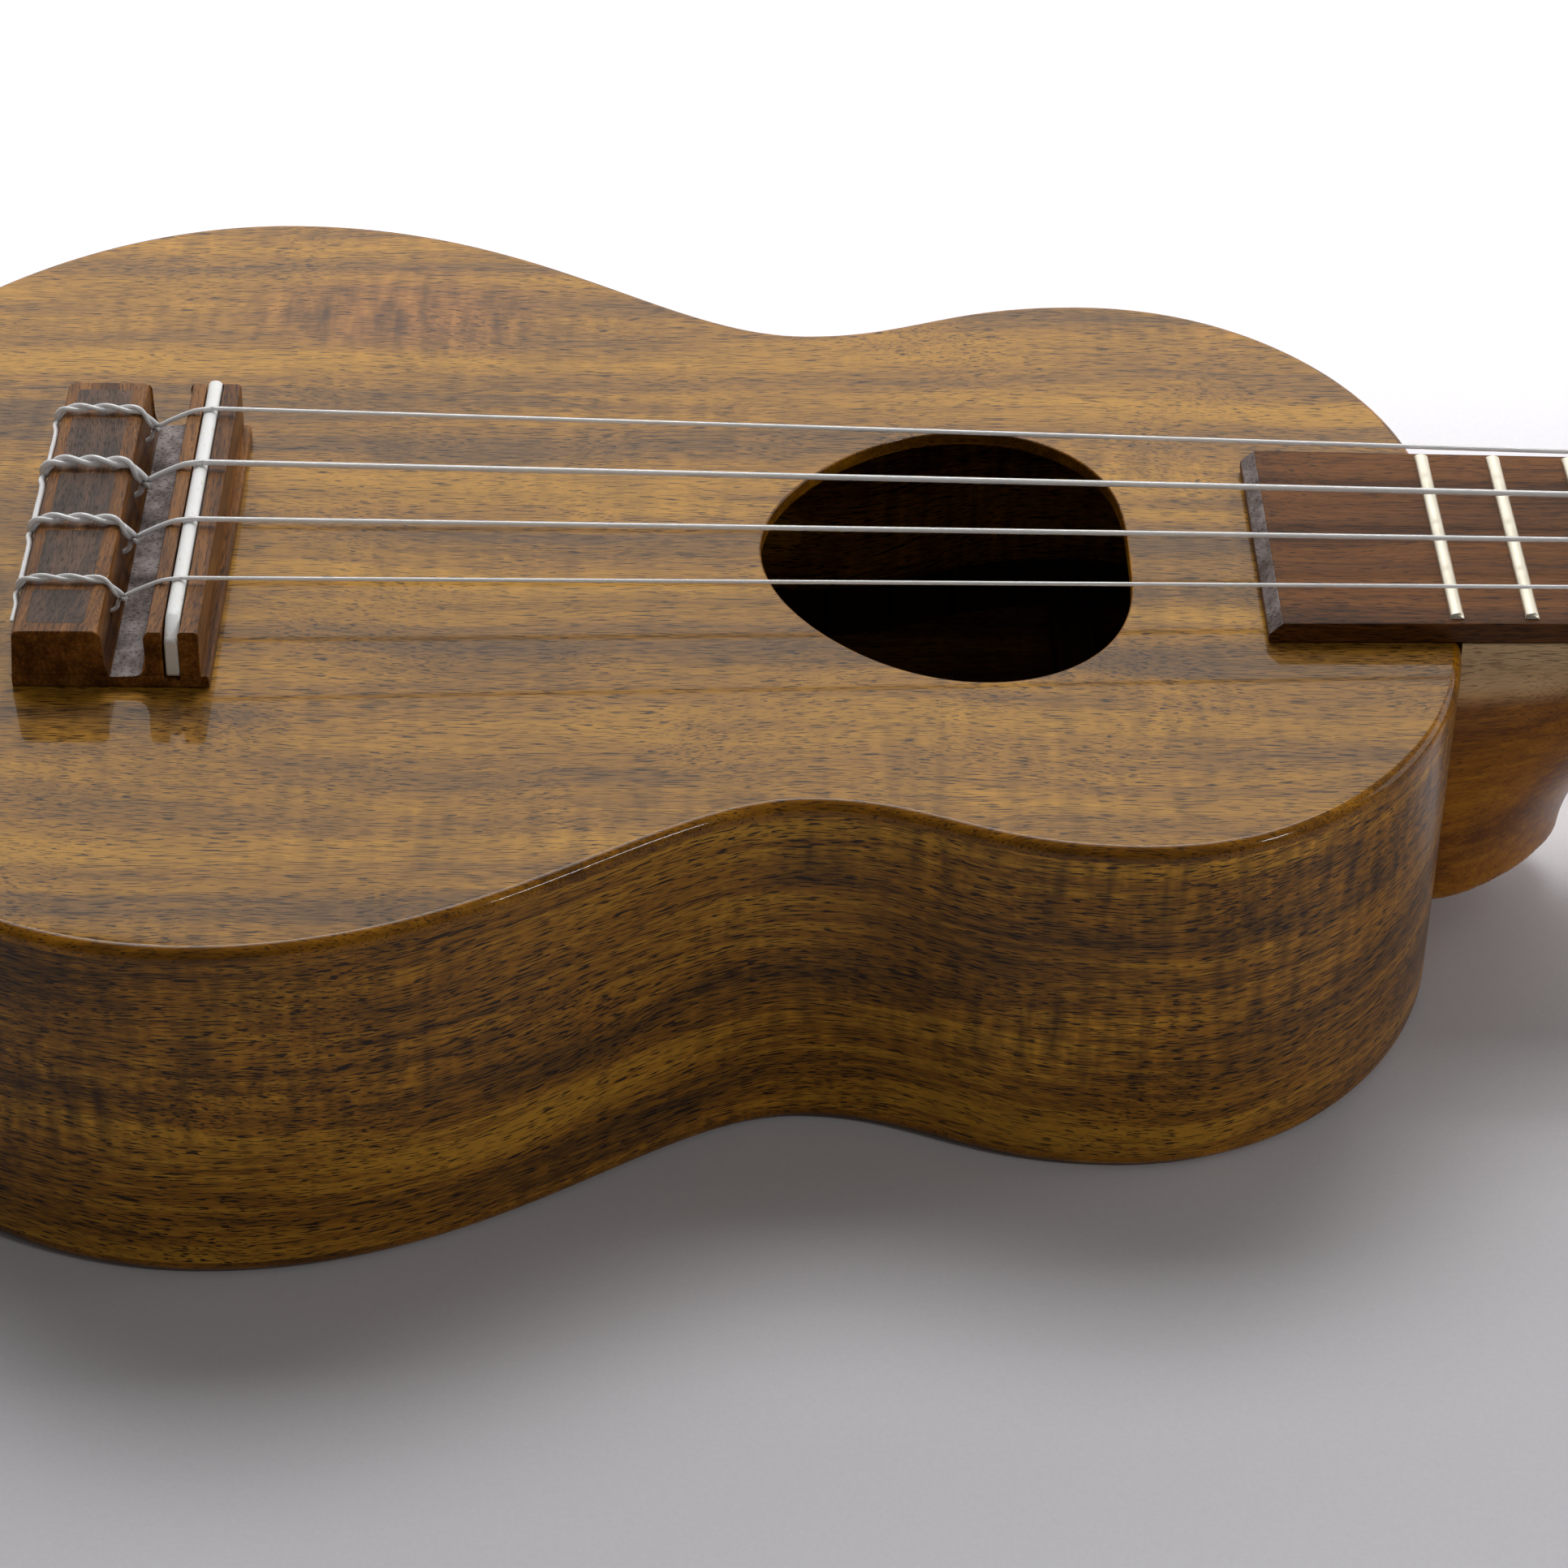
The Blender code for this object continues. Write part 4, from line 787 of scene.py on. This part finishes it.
(SADDLE_LOW_X, SADDLE_NEAR, SADDLE_FLOOR), (SADDLE_HIGH_X, SADDLE_FAR, SADDLE_CROWN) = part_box("saddle")
saddle_x, saddle_half = (SADDLE_LOW_X + SADDLE_HIGH_X) / 2, (SADDLE_HIGH_X - SADDLE_LOW_X) / 2
loops = []
for y, drop, lift, slim in ((SADDLE_NEAR, 2.4, 1.0, 0.75), (SADDLE_NEAR + 0.2 * MM, 2.0, 0.5, 0.92),
                            (SADDLE_NEAR + 0.5 * MM, 1.7, 0.2, 1.0), (SADDLE_NEAR + 2.0 * MM, 0.9, 0, 1.0),
                            (SADDLE_NEAR + 3.6 * MM, 0.12, 0, 1.0), (SADDLE_NEAR + 4.2 * MM, 0, 0, 1.0),
                            (SADDLE_FAR - 0.3 * MM, 0, 0.1, 1.0), (SADDLE_FAR, 0.3, 0.4, 0.85)):
    crown = SADDLE_CROWN - drop * MM
    low = SADDLE_FLOOR + lift * MM
    half = saddle_half * slim
    loop = [(saddle_x - half * 0.8, y, low), (saddle_x - half, y, low + 0.25 * MM)]
    for i in range(13):
        turn = math.pi * i / 12
        rounded = crown - 0.75 * saddle_half * (1 - math.sin(turn))
        loop.append((saddle_x - half * math.cos(turn), y, rounded))
    loop += [(saddle_x + half, y, low + 0.25 * MM), (saddle_x + half * 0.8, y, low)]
    loops.append(loop)
saddle = loft("saddle_fine", loops, sharp=40)
finish(saddle, bone, replaced=["saddle"])


# The strings' places: four clear lines of different thickness, evenly spread over the bone saddle and nut.
# The saddle is glued a little off centre with its bridge, so the strings run slightly aslant to the neck.

STRING_RADII = {"g": 0.34 * MM, "c": 0.44 * MM, "e": 0.38 * MM, "a": 0.29 * MM}
SPREAD_SADDLE, SPREAD_NUT, SHIFT_SADDLE = 43.7 * MM, 28.1 * MM, -2.0 * MM
NUT_STRING = 4.9 * MM


def string_y(letter, x):
    share = x / SCALE
    spread = SPREAD_SADDLE + (SPREAD_NUT - SPREAD_SADDLE) * share
    return (0.5 - "gcea".index(letter) / 3) * spread + SHIFT_SADDLE * (1 - share)


def along_x(x, y, z):
    """Lays a tube that was drawn upright along X, starting at a point."""
    return Matrix.Translation((x, y, z)) @ Matrix.Rotation(math.pi / 2, 4, "Y")


nut_top = TOP + NUT_STRING + 0.35 * MM
shape = bmesh.new()
nut_profile = [(NUT_X, BOARD_LOW), (NUT_END_X, BOARD_LOW), (NUT_END_X, nut_top - 1.0 * MM),
               (NUT_END_X - 1.3 * MM, nut_top - 0.2 * MM), (NUT_X + 0.8 * MM, nut_top),
               (NUT_X, nut_top - 0.3 * MM)]
rings = add_rings(shape, [[(x, y, z) for x, z in nut_profile] for y in (-NUT_HALF, NUT_HALF)])
shape.faces.new(rings[0])
shape.faces.new(rings[1])
bmesh.ops.recalc_face_normals(shape, faces=shape.faces)
edge_rounded(shape, 0.25 * MM, 15)
nut = to_object("nut_fine", shape)
notches = []
for letter, radius in STRING_RADII.items():
    place = along_x(NUT_X - 2 * MM, string_y(letter, NUT_X), TOP + NUT_STRING + radius)
    notches.append(loft("notch", tube_loops(radius + 0.05 * MM, (0, 9 * MM), 16), place))
carve(nut, "DIFFERENCE", notches)
soften(nut)
finish(nut, bone, replaced=["nut"])


# The bridge: rosewood milled from one block, with a tie block, a coved channel and a slotted saddle block.
# It stands on a thin base with a fine glue line, has a hole for each string, and is waxed, not lacquered.

BRIDGE_NEAR, BRIDGE_FAR = corner("bridge", 0)[1], corner("bridge", 1)[1]
BRIDGE_TOP = corner("bridge", 1)[2]
BRIDGE_TAIL, BRIDGE_TAIL_FOOT = -21.5 * MM, -22.0 * MM
TIE_FRONT, BLOCK_REAR, BLOCK_FRONT, LEDGE_FRONT = -9.8 * MM, -3.6 * MM, 3.5 * MM, 4.6 * MM
LEDGE_TOP, CHANNEL_FLOOR, SLOT_FLOOR, HOLE_UP = 2.1 * MM, 1.9 * MM, 1.3 * MM, 4.5 * MM
BASE_LINE, SEAM_WIDE, SEAM_DEEP = 2.2 * MM, 0.13 * MM, 0.12 * MM


def bridge_outline():
    """The bridge's section: (x, height over the soundboard)."""
    slot = saddle_half + 0.25 * MM
    outline = [(BRIDGE_TAIL_FOOT, 0.15 * MM), (LEDGE_FRONT, 0.15 * MM), (LEDGE_FRONT, LEDGE_TOP - 0.3 * MM),
               (LEDGE_FRONT - 0.3 * MM, LEDGE_TOP), (BLOCK_FRONT, LEDGE_TOP)]
    top = BRIDGE_TOP - TOP
    outline += [(BLOCK_FRONT, top - 0.5 * MM), (BLOCK_FRONT - 0.15 * MM, top - 0.15 * MM),
                (BLOCK_FRONT - 0.5 * MM, top)]
    outline += [(saddle_x + slot, top), (saddle_x + slot, SLOT_FLOOR), (saddle_x - slot, SLOT_FLOOR),
                (saddle_x - slot, top)]
    outline += [(BLOCK_REAR + 0.7 * MM, top), (BLOCK_REAR + 0.2 * MM, top - 0.2 * MM),
                (BLOCK_REAR, top - 0.8 * MM)]
    cove_x, cove_z, cove = BLOCK_REAR - 1.9 * MM, CHANNEL_FLOOR + 2.1 * MM, 2.0 * MM
    outline += [(cove_x + cove * math.cos(math.radians(-a)), cove_z + cove * math.sin(math.radians(-a)))
                for a in range(0, 91, 15)]
    rise = 2.6 * MM
    outline += [(TIE_FRONT + 1.5 * MM - rise * 0.55 * math.sin(math.radians(a)),
                 CHANNEL_FLOOR + rise * (1 - math.cos(math.radians(a)))) for a in range(0, 76, 15)]
    outline += [(TIE_FRONT + 0.02 * MM, top - 0.9 * MM), (TIE_FRONT - 0.2 * MM, top - 0.3 * MM),
                (TIE_FRONT - 0.8 * MM, top)]
    outline += [(BRIDGE_TAIL + 1.0 * MM, top), (BRIDGE_TAIL + 0.35 * MM, top - 0.25 * MM),
                (BRIDGE_TAIL, top - 0.9 * MM), (BRIDGE_TAIL_FOOT + 0.1 * MM, BASE_LINE + 0.12 * MM),
                (BRIDGE_TAIL_FOOT + 0.25 * MM, BASE_LINE), (BRIDGE_TAIL_FOOT, BASE_LINE - 0.12 * MM)]
    return outline


def toward_middle(outline, inset):
    """The section shrunk a little where its ends are eased with sandpaper."""
    middle_x, middle_z = (BRIDGE_TAIL + BLOCK_FRONT) / 2, (BRIDGE_TOP - TOP) / 2
    return [(x + math.copysign(min(inset, abs(x - middle_x)), middle_x - x),
             z + (math.copysign(inset, middle_z - z) if z > BASE_LINE + 1 * MM or z < 1 * MM else 0))
            for x, z in outline]


outline = bridge_outline()
loops = []
for y, inset in ((BRIDGE_NEAR, 0.3), (BRIDGE_NEAR + 0.1 * MM, 0.1), (BRIDGE_NEAR + 0.35 * MM, 0),
                 (BRIDGE_FAR - 0.35 * MM, 0), (BRIDGE_FAR - 0.1 * MM, 0.1), (BRIDGE_FAR, 0.3)):
    loops.append([(x, y, TOP + z) for x, z in toward_middle(outline, inset * MM)])
bridge = loft("bridge_fine", loops)
drills = []
for letter, radius in STRING_RADII.items():
    y = string_y(letter, TIE_FRONT)
    place = along_x(BRIDGE_TAIL - 3 * MM, y, TOP + HOLE_UP)
    drills.append(loft("string_drill", tube_loops(radius + 0.35 * MM, (0, 16 * MM), 20), place))
    # a chip beside each hole's mouth, where the drill broke out of the channel wall
    chip = Matrix.Translation((TIE_FRONT + 0.5 * MM, y - 0.75 * MM, TOP + HOLE_UP - 0.1 * MM))
    drills.append(loft("chip_cutter", tube_loops(0.5 * MM, (-0.4 * MM, 1.2 * MM), 7),
                       chip @ Matrix.Rotation(math.radians(62), 4, "Y")))
for end, way in ((BRIDGE_NEAR, 1), (BRIDGE_FAR, -1)):
    low, high, start = TOP + BASE_LINE, TOP + BASE_LINE + SEAM_WIDE, BRIDGE_TAIL_FOOT - MM
    seam = [(start, low), (BLOCK_FRONT, low), (BLOCK_FRONT, high), (start, high)]
    ends = sorted((end - way * MM, end + way * SEAM_DEEP))
    drills.append(slab("seam_cutter", seam, *ends, "Y"))
carve(bridge, "DIFFERENCE", drills)
soften(bridge, 35)
rosewood_bridge = wood("rosewood_bridge_waxed", "#93602a", "#754819", "#522f0d", "#2b1606", band=(90, 4),
                       streak=(40, 0.6), pores=(2.8, 0.17), pore_level=0.59, curl=0.08, gloss=0.3, coat=0.3,
                       relief=0.05, turn=(1, 0, 2))
finish(bridge, rosewood_bridge, replaced=["bridge"])
# the channel's floor, milled smooth, gets the pale grey rosewood as a painted reflection of the bright
# backdrop in its flat face
bridge.data.materials.append(rosewood_pale_grey)
for face in bridge.data.polygons:
    if face.normal.z > 0.9 and TIE_FRONT < face.center.x < BLOCK_REAR and face.center.z < TOP + 2.6 * MM:
        face.material_index = 1

# Four thin panels let into the tie block between the strings: plain, stained grey-brown, with no marking.
stained_panel = wood("rosewood_panel_grey_stain", "#6a5040", "#564439", "#453a34", "#261a12", band=(12, 3),
                     streak=(8, 0.6), pores=(2.0, 0.17), pore_level=0.59, curl=0.15, gloss=0.45, coat=0.2,
                     relief=0.05, turn=(1, 0, 2))
PANEL_FRONT, PANEL_REAR, PANEL_CORNER = -11.9 * MM, -19.7 * MM, 0.5 * MM
PANEL_PROUD, PANEL_SINK = 0.05 * MM, 0.4 * MM
edges_y = [BRIDGE_NEAR + 2.0 * MM]
for letter in "aecg":
    edges_y += [string_y(letter, TIE_FRONT) - 1.5 * MM, string_y(letter, TIE_FRONT) + 1.5 * MM]
edges_y.append(BRIDGE_FAR - 2.2 * MM)
for k in range(0, len(edges_y) - 1, 2):
    low_y, high_y = edges_y[k], edges_y[k + 1]
    loops = []
    for height, inset in ((-PANEL_SINK, 0), (PANEL_PROUD - 0.04 * MM, 0), (PANEL_PROUD, 0.15 * MM)):
        ring = []
        for start, cx, cy in ((0, PANEL_FRONT, high_y), (90, PANEL_REAR, high_y),
                              (180, PANEL_REAR, low_y), (270, PANEL_FRONT, low_y)):
            centre_x = cx + (-PANEL_CORNER if cx == PANEL_FRONT else PANEL_CORNER)
            centre_y = cy + (-PANEL_CORNER if cy == high_y else PANEL_CORNER)
            for turn in (0, 30, 60, 90):
                angle = math.radians(start + turn)
                ring.append((centre_x + (PANEL_CORNER - inset) * math.cos(angle),
                             centre_y + (PANEL_CORNER - inset) * math.sin(angle), BRIDGE_TOP + height))
        loops.append(ring)
    panel = loft("tie_panel_%d" % (k // 2 + 1), loops)
    finish(panel, stained_panel)


# Strings: drawn fluorocarbon line, clear and hard, greyish over dark wood and white where it catches light.
# Each runs from its post over nut and saddle into the tie block, back over it, and twists round itself.

line, tree, output = fresh_material("fluorocarbon_drawn_line")
haze = noise(tree, scaled(tree, here(tree), 2.5, 2.5, 2.5))
surface(tree, output, {
    "Base Color": blend(tree, haze, linear("#f1f1f3"), linear("#ffffff")), "Roughness": 0.18, "IOR": 1.45,
    "Coat Weight": 1.0, "Coat Roughness": 0.12, "Coat IOR": 1.6, "Subsurface Weight": 1.0,
    "Subsurface Radius": (1.0, 1.0, 1.0), "Subsurface Scale": 0.6 * MM, "Transmission Weight": 0.25})

TWIST_PITCH = 7.5 * MM
STRING_STEP = 0.3 * MM
POST_STRING_UP = 5.0 * MM
DIP = (-8.0 * MM, 6.9 * MM)


def smooth_path(points, step=STRING_STEP):
    """A rounded curve through points, as evenly spaced vectors."""
    points = [Vector(p) for p in points]
    padded = [2 * points[0] - points[1]] + points + [2 * points[-1] - points[-2]]
    made = []
    for a, b, c, d in zip(padded, padded[1:], padded[2:], padded[3:]):
        count = max(2, min(60, int((c - b).length / step)))
        for i in range(count):
            t = i / count
            made.append(0.5 * (2 * b + (c - a) * t + (2 * a - 5 * b + 4 * c - d) * t * t
                               + (3 * b - a - 3 * c + d) * t ** 3))
    return made + [points[-1]]


def string_piece(name, paths, radius):
    """A round line along one or more paths."""
    curve = bpy.data.curves.new(name, "CURVE")
    curve.dimensions = "3D"
    curve.bevel_depth = radius
    curve.bevel_resolution = 4
    curve.use_fill_caps = True
    for path in paths:
        spline = curve.splines.new("POLY")
        spline.points.add(len(path) - 1)
        for spot, point in zip(spline.points, path):
            spot.co = (*point, 1)
        spline.use_smooth = True
    curve.materials.append(line)
    return new_object(name, curve)


def twisted(centre, radius, start_turn):
    """A strand wound round a centre line, a half of the twisted pair."""
    path, run = [], 0.0
    for before, point, after in zip([centre[0]] + centre, centre, centre[1:] + [centre[-1]]):
        run += (point - before).length
        along = (after - before).normalized()
        out = along.cross(Vector((0, 1, 0))).normalized()
        if out.z < 0:
            out = -out
        turn = start_turn + 2 * math.pi * run / TWIST_PITCH
        path.append(point + radius * 1.02 * (math.cos(turn) * Vector((0, 1, 0)) + math.sin(turn) * out))
    return path


for letter, radius in STRING_RADII.items():
    u, v = TUNERS[letter]
    side = math.copysign(1, v)
    post_end = head_frame @ Vector((u, v - side * (POST_RADIUS + radius), VENEER_TOP + POST_STRING_UP))
    y = string_y(letter, 0)
    crown = SADDLE_CROWN + radius
    over = BRIDGE_TOP + 2 * radius + 0.05 * MM
    behind = BRIDGE_TAIL - radius
    hole_z = TOP + HOLE_UP
    nut_z = TOP + NUT_STRING + radius
    straight = [tuple(post_end), (NUT_END_X - 0.8 * MM, string_y(letter, NUT_END_X), nut_z - 0.25 * MM),
                (NUT_X + 0.3 * MM, string_y(letter, NUT_X), nut_z), (saddle_x + 0.4 * MM, y, crown)]
    bend = smooth_path([
        (saddle_x + 0.4 * MM, y, crown), (saddle_x - 0.5 * MM, y, crown - 0.1 * MM),
        (BLOCK_REAR + 0.4 * MM, y, BRIDGE_TOP + radius - 0.12 * MM), (DIP[0], y, TOP + DIP[1]),
        (TIE_FRONT + 0.9 * MM, y, hole_z + 0.7 * MM), (TIE_FRONT - 0.4 * MM, y, hole_z),
        (TIE_FRONT - 3 * MM, y, hole_z), (BRIDGE_TAIL + 1 * MM, y, hole_z),
        (behind - 0.5 * MM, y, hole_z + 0.4 * MM), (behind - 0.45 * MM, y, hole_z + 1.6 * MM)])
    centre = smooth_path([
        (behind - 0.4 * MM, y, BRIDGE_TOP - 1.3 * MM), (behind + 0.1 * MM, y, BRIDGE_TOP - 0.2 * MM),
        (BRIDGE_TAIL + 1.0 * MM, y, over), (BRIDGE_TAIL + 5 * MM, y, over + 0.15 * MM),
        (TIE_FRONT - 2.5 * MM, y, over + 0.05 * MM), (TIE_FRONT - 0.4 * MM, y, over - 0.35 * MM),
        (TIE_FRONT + 0.8 * MM, y, TOP + DIP[1] + 1.1 * MM), (DIP[0] - 0.1 * MM, y, TOP + DIP[1] + 0.1 * MM)])
    first, second = twisted(centre, radius, 0.4), twisted(centre, radius, 0.4 + math.pi)
    loop = smooth_path([first[-1], (DIP[0] + 0.35 * MM, y + 1.5 * radius, TOP + DIP[1] - 0.3 * radius),
                        (DIP[0] + 0.45 * MM, y, TOP + DIP[1] - 1.9 * radius),
                        (DIP[0] + 0.35 * MM, y - 1.5 * radius, TOP + DIP[1] - 0.3 * radius), second[-1]])
    reach = 8.5 * MM if letter == "a" else 13.5 * MM
    tail = smooth_path([second[0], (behind - 0.5 * MM, y - 1.6 * MM, BRIDGE_TOP - 1.2 * MM),
                        (behind - 0.05 * MM, y - 4.0 * MM, BRIDGE_TOP - 0.95 * MM),
                        (behind, y - reach * 0.7, BRIDGE_TOP - 0.8 * MM),
                        (behind, y - reach, BRIDGE_TOP - 0.75 * MM)])
    paths = [[Vector(p) for p in straight], bend + first, loop, list(reversed(second)) + tail]
    string = string_piece("string_%s_fine" % letter, paths, radius)
    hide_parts("string_" + letter)
    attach(string, "ukulele")


# Friction tuners: ferrules, cups and posts turned from brass, plated bright and pressed into the head.
# Post and button turn together; the string is wound three and a half times down the post.

plated, tree, output = fresh_material("nickel_plated_brass_turned")
smudge = noise(tree, scaled(tree, here(tree), 2.2, 2.2, 2.2), 4.0)
surface(tree, output, {"Base Color": blend(tree, smudge, linear("#c6c2b8"), linear("#dedad0")),
                       "Metallic": 1.0, "Roughness": remap(tree, smudge, 0, 1, 0.10, 0.26)})

# Cast polyester resin in ivory: clouded while it sets, tumbled smooth, slightly see-through at the rim.
resin, tree, output = fresh_material("ivory_resin_cast_tumbled")
cloud = noise(tree, scaled(tree, here(tree), 4, 4, 4), 3.0, distortion=0.8)
surface(tree, output, {
    "Base Color": blend(tree, cloud, linear("#d9cfb4"), linear("#f3ecda")), "Roughness": 0.24, "IOR": 1.5,
    "Subsurface Weight": 0.3, "Subsurface Radius": (1.0, 0.8, 0.5), "Subsurface Scale": 1.2 * MM})


def turned(name, profile, place, steps=48):
    """A lathe-turned ring or rod from (radius, height) points; a closed profile if it has a bore."""
    turns = [2 * math.pi * i / steps for i in range(steps)]
    loops = [[(r * math.cos(t), r * math.sin(t), h) for t in turns] for r, h in profile]
    shape = bmesh.new()
    rings = add_rings(shape, loops + ([loops[0]] if profile[0][0] == profile[-1][0] else []))
    if profile[0][0] != profile[-1][0]:
        shape.faces.new(rings[0])
        shape.faces.new(rings[-1])
    bmesh.ops.remove_doubles(shape, verts=shape.verts, dist=1e-7)
    bmesh.ops.transform(shape, matrix=place, verts=shape.verts)
    return to_object(name, shape, 40)


FERRULE_RADIUS, FERRULE_HEIGHT, CUP_RADIUS, CUP_HEIGHT = 5.2 * MM, 1.3 * MM, 5.6 * MM, 2.6 * MM
POST_TOP = VENEER_TOP + 11.5 * MM
BUTTON_TOP = -HEAD_THICKNESS - CUP_HEIGHT - 2 * GAP
BUTTON_LENGTH, BUTTON_WIDE, BUTTON_THICK, BUTTON_NECK = 13.5 * MM, 9.5 * MM, 3.6 * MM, 4.0 * MM
BORE = POST_RADIUS + 0.25 * MM


def button(name, place, steps=56):
    """A flat rounded grip under a short waisted neck."""
    loops = []
    for k in range(29):
        t = k / 28
        spread = 0 if t < 0.14 else (math.sin(min(1, (t - 0.14) / 0.52) * math.pi / 2)) ** 1.6
        closing = 1 if t < 0.72 else math.sqrt(max(0.0, 1 - ((t - 0.72) / 0.285) ** 2))
        waist = 1 - 0.10 * math.sin(min(1, t / 0.3) * math.pi)
        wide = (BUTTON_NECK + (BUTTON_WIDE - BUTTON_NECK) * spread) * (0.45 + 0.55 * closing) * waist
        thick = (BUTTON_NECK + (BUTTON_THICK - BUTTON_NECK) * spread) * closing * waist
        thick = max(thick, 0.3 * MM)
        turns = [2 * math.pi * i / steps for i in range(steps)]
        loops.append([(wide * math.copysign(abs(math.cos(a)) ** 0.9, math.cos(a)), thick * math.sin(a),
                       -t * BUTTON_LENGTH) for a in turns])
    return loft(name, loops, place, 50)


for letter, (u, v) in TUNERS.items():
    place = head_frame @ Matrix.Translation((u, v, 0))
    tuner = "tuner_" + letter
    seat, rear = VENEER_TOP + 0.05 * MM, -HEAD_THICKNESS - 0.05 * MM
    ferrule = turned("ferrule_%s_fine" % letter, [
        (BORE, seat), (FERRULE_RADIUS - 0.1 * MM, seat), (FERRULE_RADIUS, seat + 0.15 * MM),
        (FERRULE_RADIUS, seat + 0.45 * MM), (FERRULE_RADIUS - 0.4 * MM, seat + 0.8 * MM),
        (FERRULE_RADIUS - 1.2 * MM, seat + 1.1 * MM), (BORE + 0.2 * MM, seat + FERRULE_HEIGHT),
        (BORE, seat + FERRULE_HEIGHT - 0.1 * MM), (BORE, seat)], place)
    finish(ferrule, plated, replaced=["ferrule_" + letter])
    cup = turned("tuner_cup_%s_fine" % letter, [
        (BORE, rear), (CUP_RADIUS, rear), (CUP_RADIUS, rear - 0.5 * MM),
        (CUP_RADIUS - 0.25 * MM, rear - 0.8 * MM),
        (CUP_RADIUS - 0.5 * MM, rear - CUP_HEIGHT + 0.5 * MM), (CUP_RADIUS - 1.1 * MM, rear - CUP_HEIGHT),
        (BORE, rear - CUP_HEIGHT), (BORE, rear)], place)
    finish(cup, plated, replaced=["tuner_cup_" + letter])
    low, mouth = BUTTON_TOP - 5.5 * MM, VENEER_TOP + POST_STRING_UP
    post = turned("post_%s_fine" % letter, [
        (POST_RADIUS - 0.3 * MM, low), (POST_RADIUS, low + 0.3 * MM), (POST_RADIUS, mouth - 2.6 * MM),
        (POST_RADIUS - 0.35 * MM, mouth - 1.6 * MM), (POST_RADIUS - 0.35 * MM, mouth + 2.2 * MM),
        (POST_RADIUS, mouth + 3.2 * MM), (POST_RADIUS, POST_TOP - 0.7 * MM),
        (POST_RADIUS - 0.25 * MM, POST_TOP - 0.2 * MM),
        (POST_RADIUS - 0.9 * MM, POST_TOP), (0.4 * MM, POST_TOP)], place)
    eye = place @ Matrix.Translation((0, 0, mouth + 1.4 * MM)) @ Matrix.Rotation(math.pi / 2, 4, "Y")
    carve(post, "DIFFERENCE", [loft("eye", tube_loops(0.6 * MM, (-5 * MM, 5 * MM), 16), eye)])
    soften(post, 40)
    finish(post, plated, tuner, replaced=["post_" + letter])
    grip = button("button_%s_fine" % letter, place @ Matrix.Translation((0, 0, BUTTON_TOP)))
    finish(grip, resin, tuner, replaced=["button_" + letter])
    base = BUTTON_TOP - BUTTON_LENGTH
    screw = turned("button_screw_" + letter, [
        (1.5 * MM, base + 0.9 * MM), (1.5 * MM, base + 0.1 * MM), (1.2 * MM, base - 0.15 * MM),
        (0.5 * MM, base - 0.25 * MM), (0.45 * MM, base + 0.1 * MM), (0.1 * MM, base + 0.1 * MM)], place, 32)
    finish(screw, plated, tuner)
    radius = STRING_RADII[letter]
    side = math.copysign(1, v)
    wound = []
    for k in range(0, 3 * 36 + 19):
        turn = -side * (math.pi / 2 + 2 * math.pi * k / 36)
        lower = mouth - 0.05 * MM - k / 36 * 2.15 * radius
        around = POST_RADIUS - 0.30 * MM + radius
        wound.append(place @ Vector((around * math.cos(turn), around * math.sin(turn), lower + 0.4 * MM)))
    winding = string_piece("string_winding_" + letter, [wound], radius)
    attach(winding, tuner)
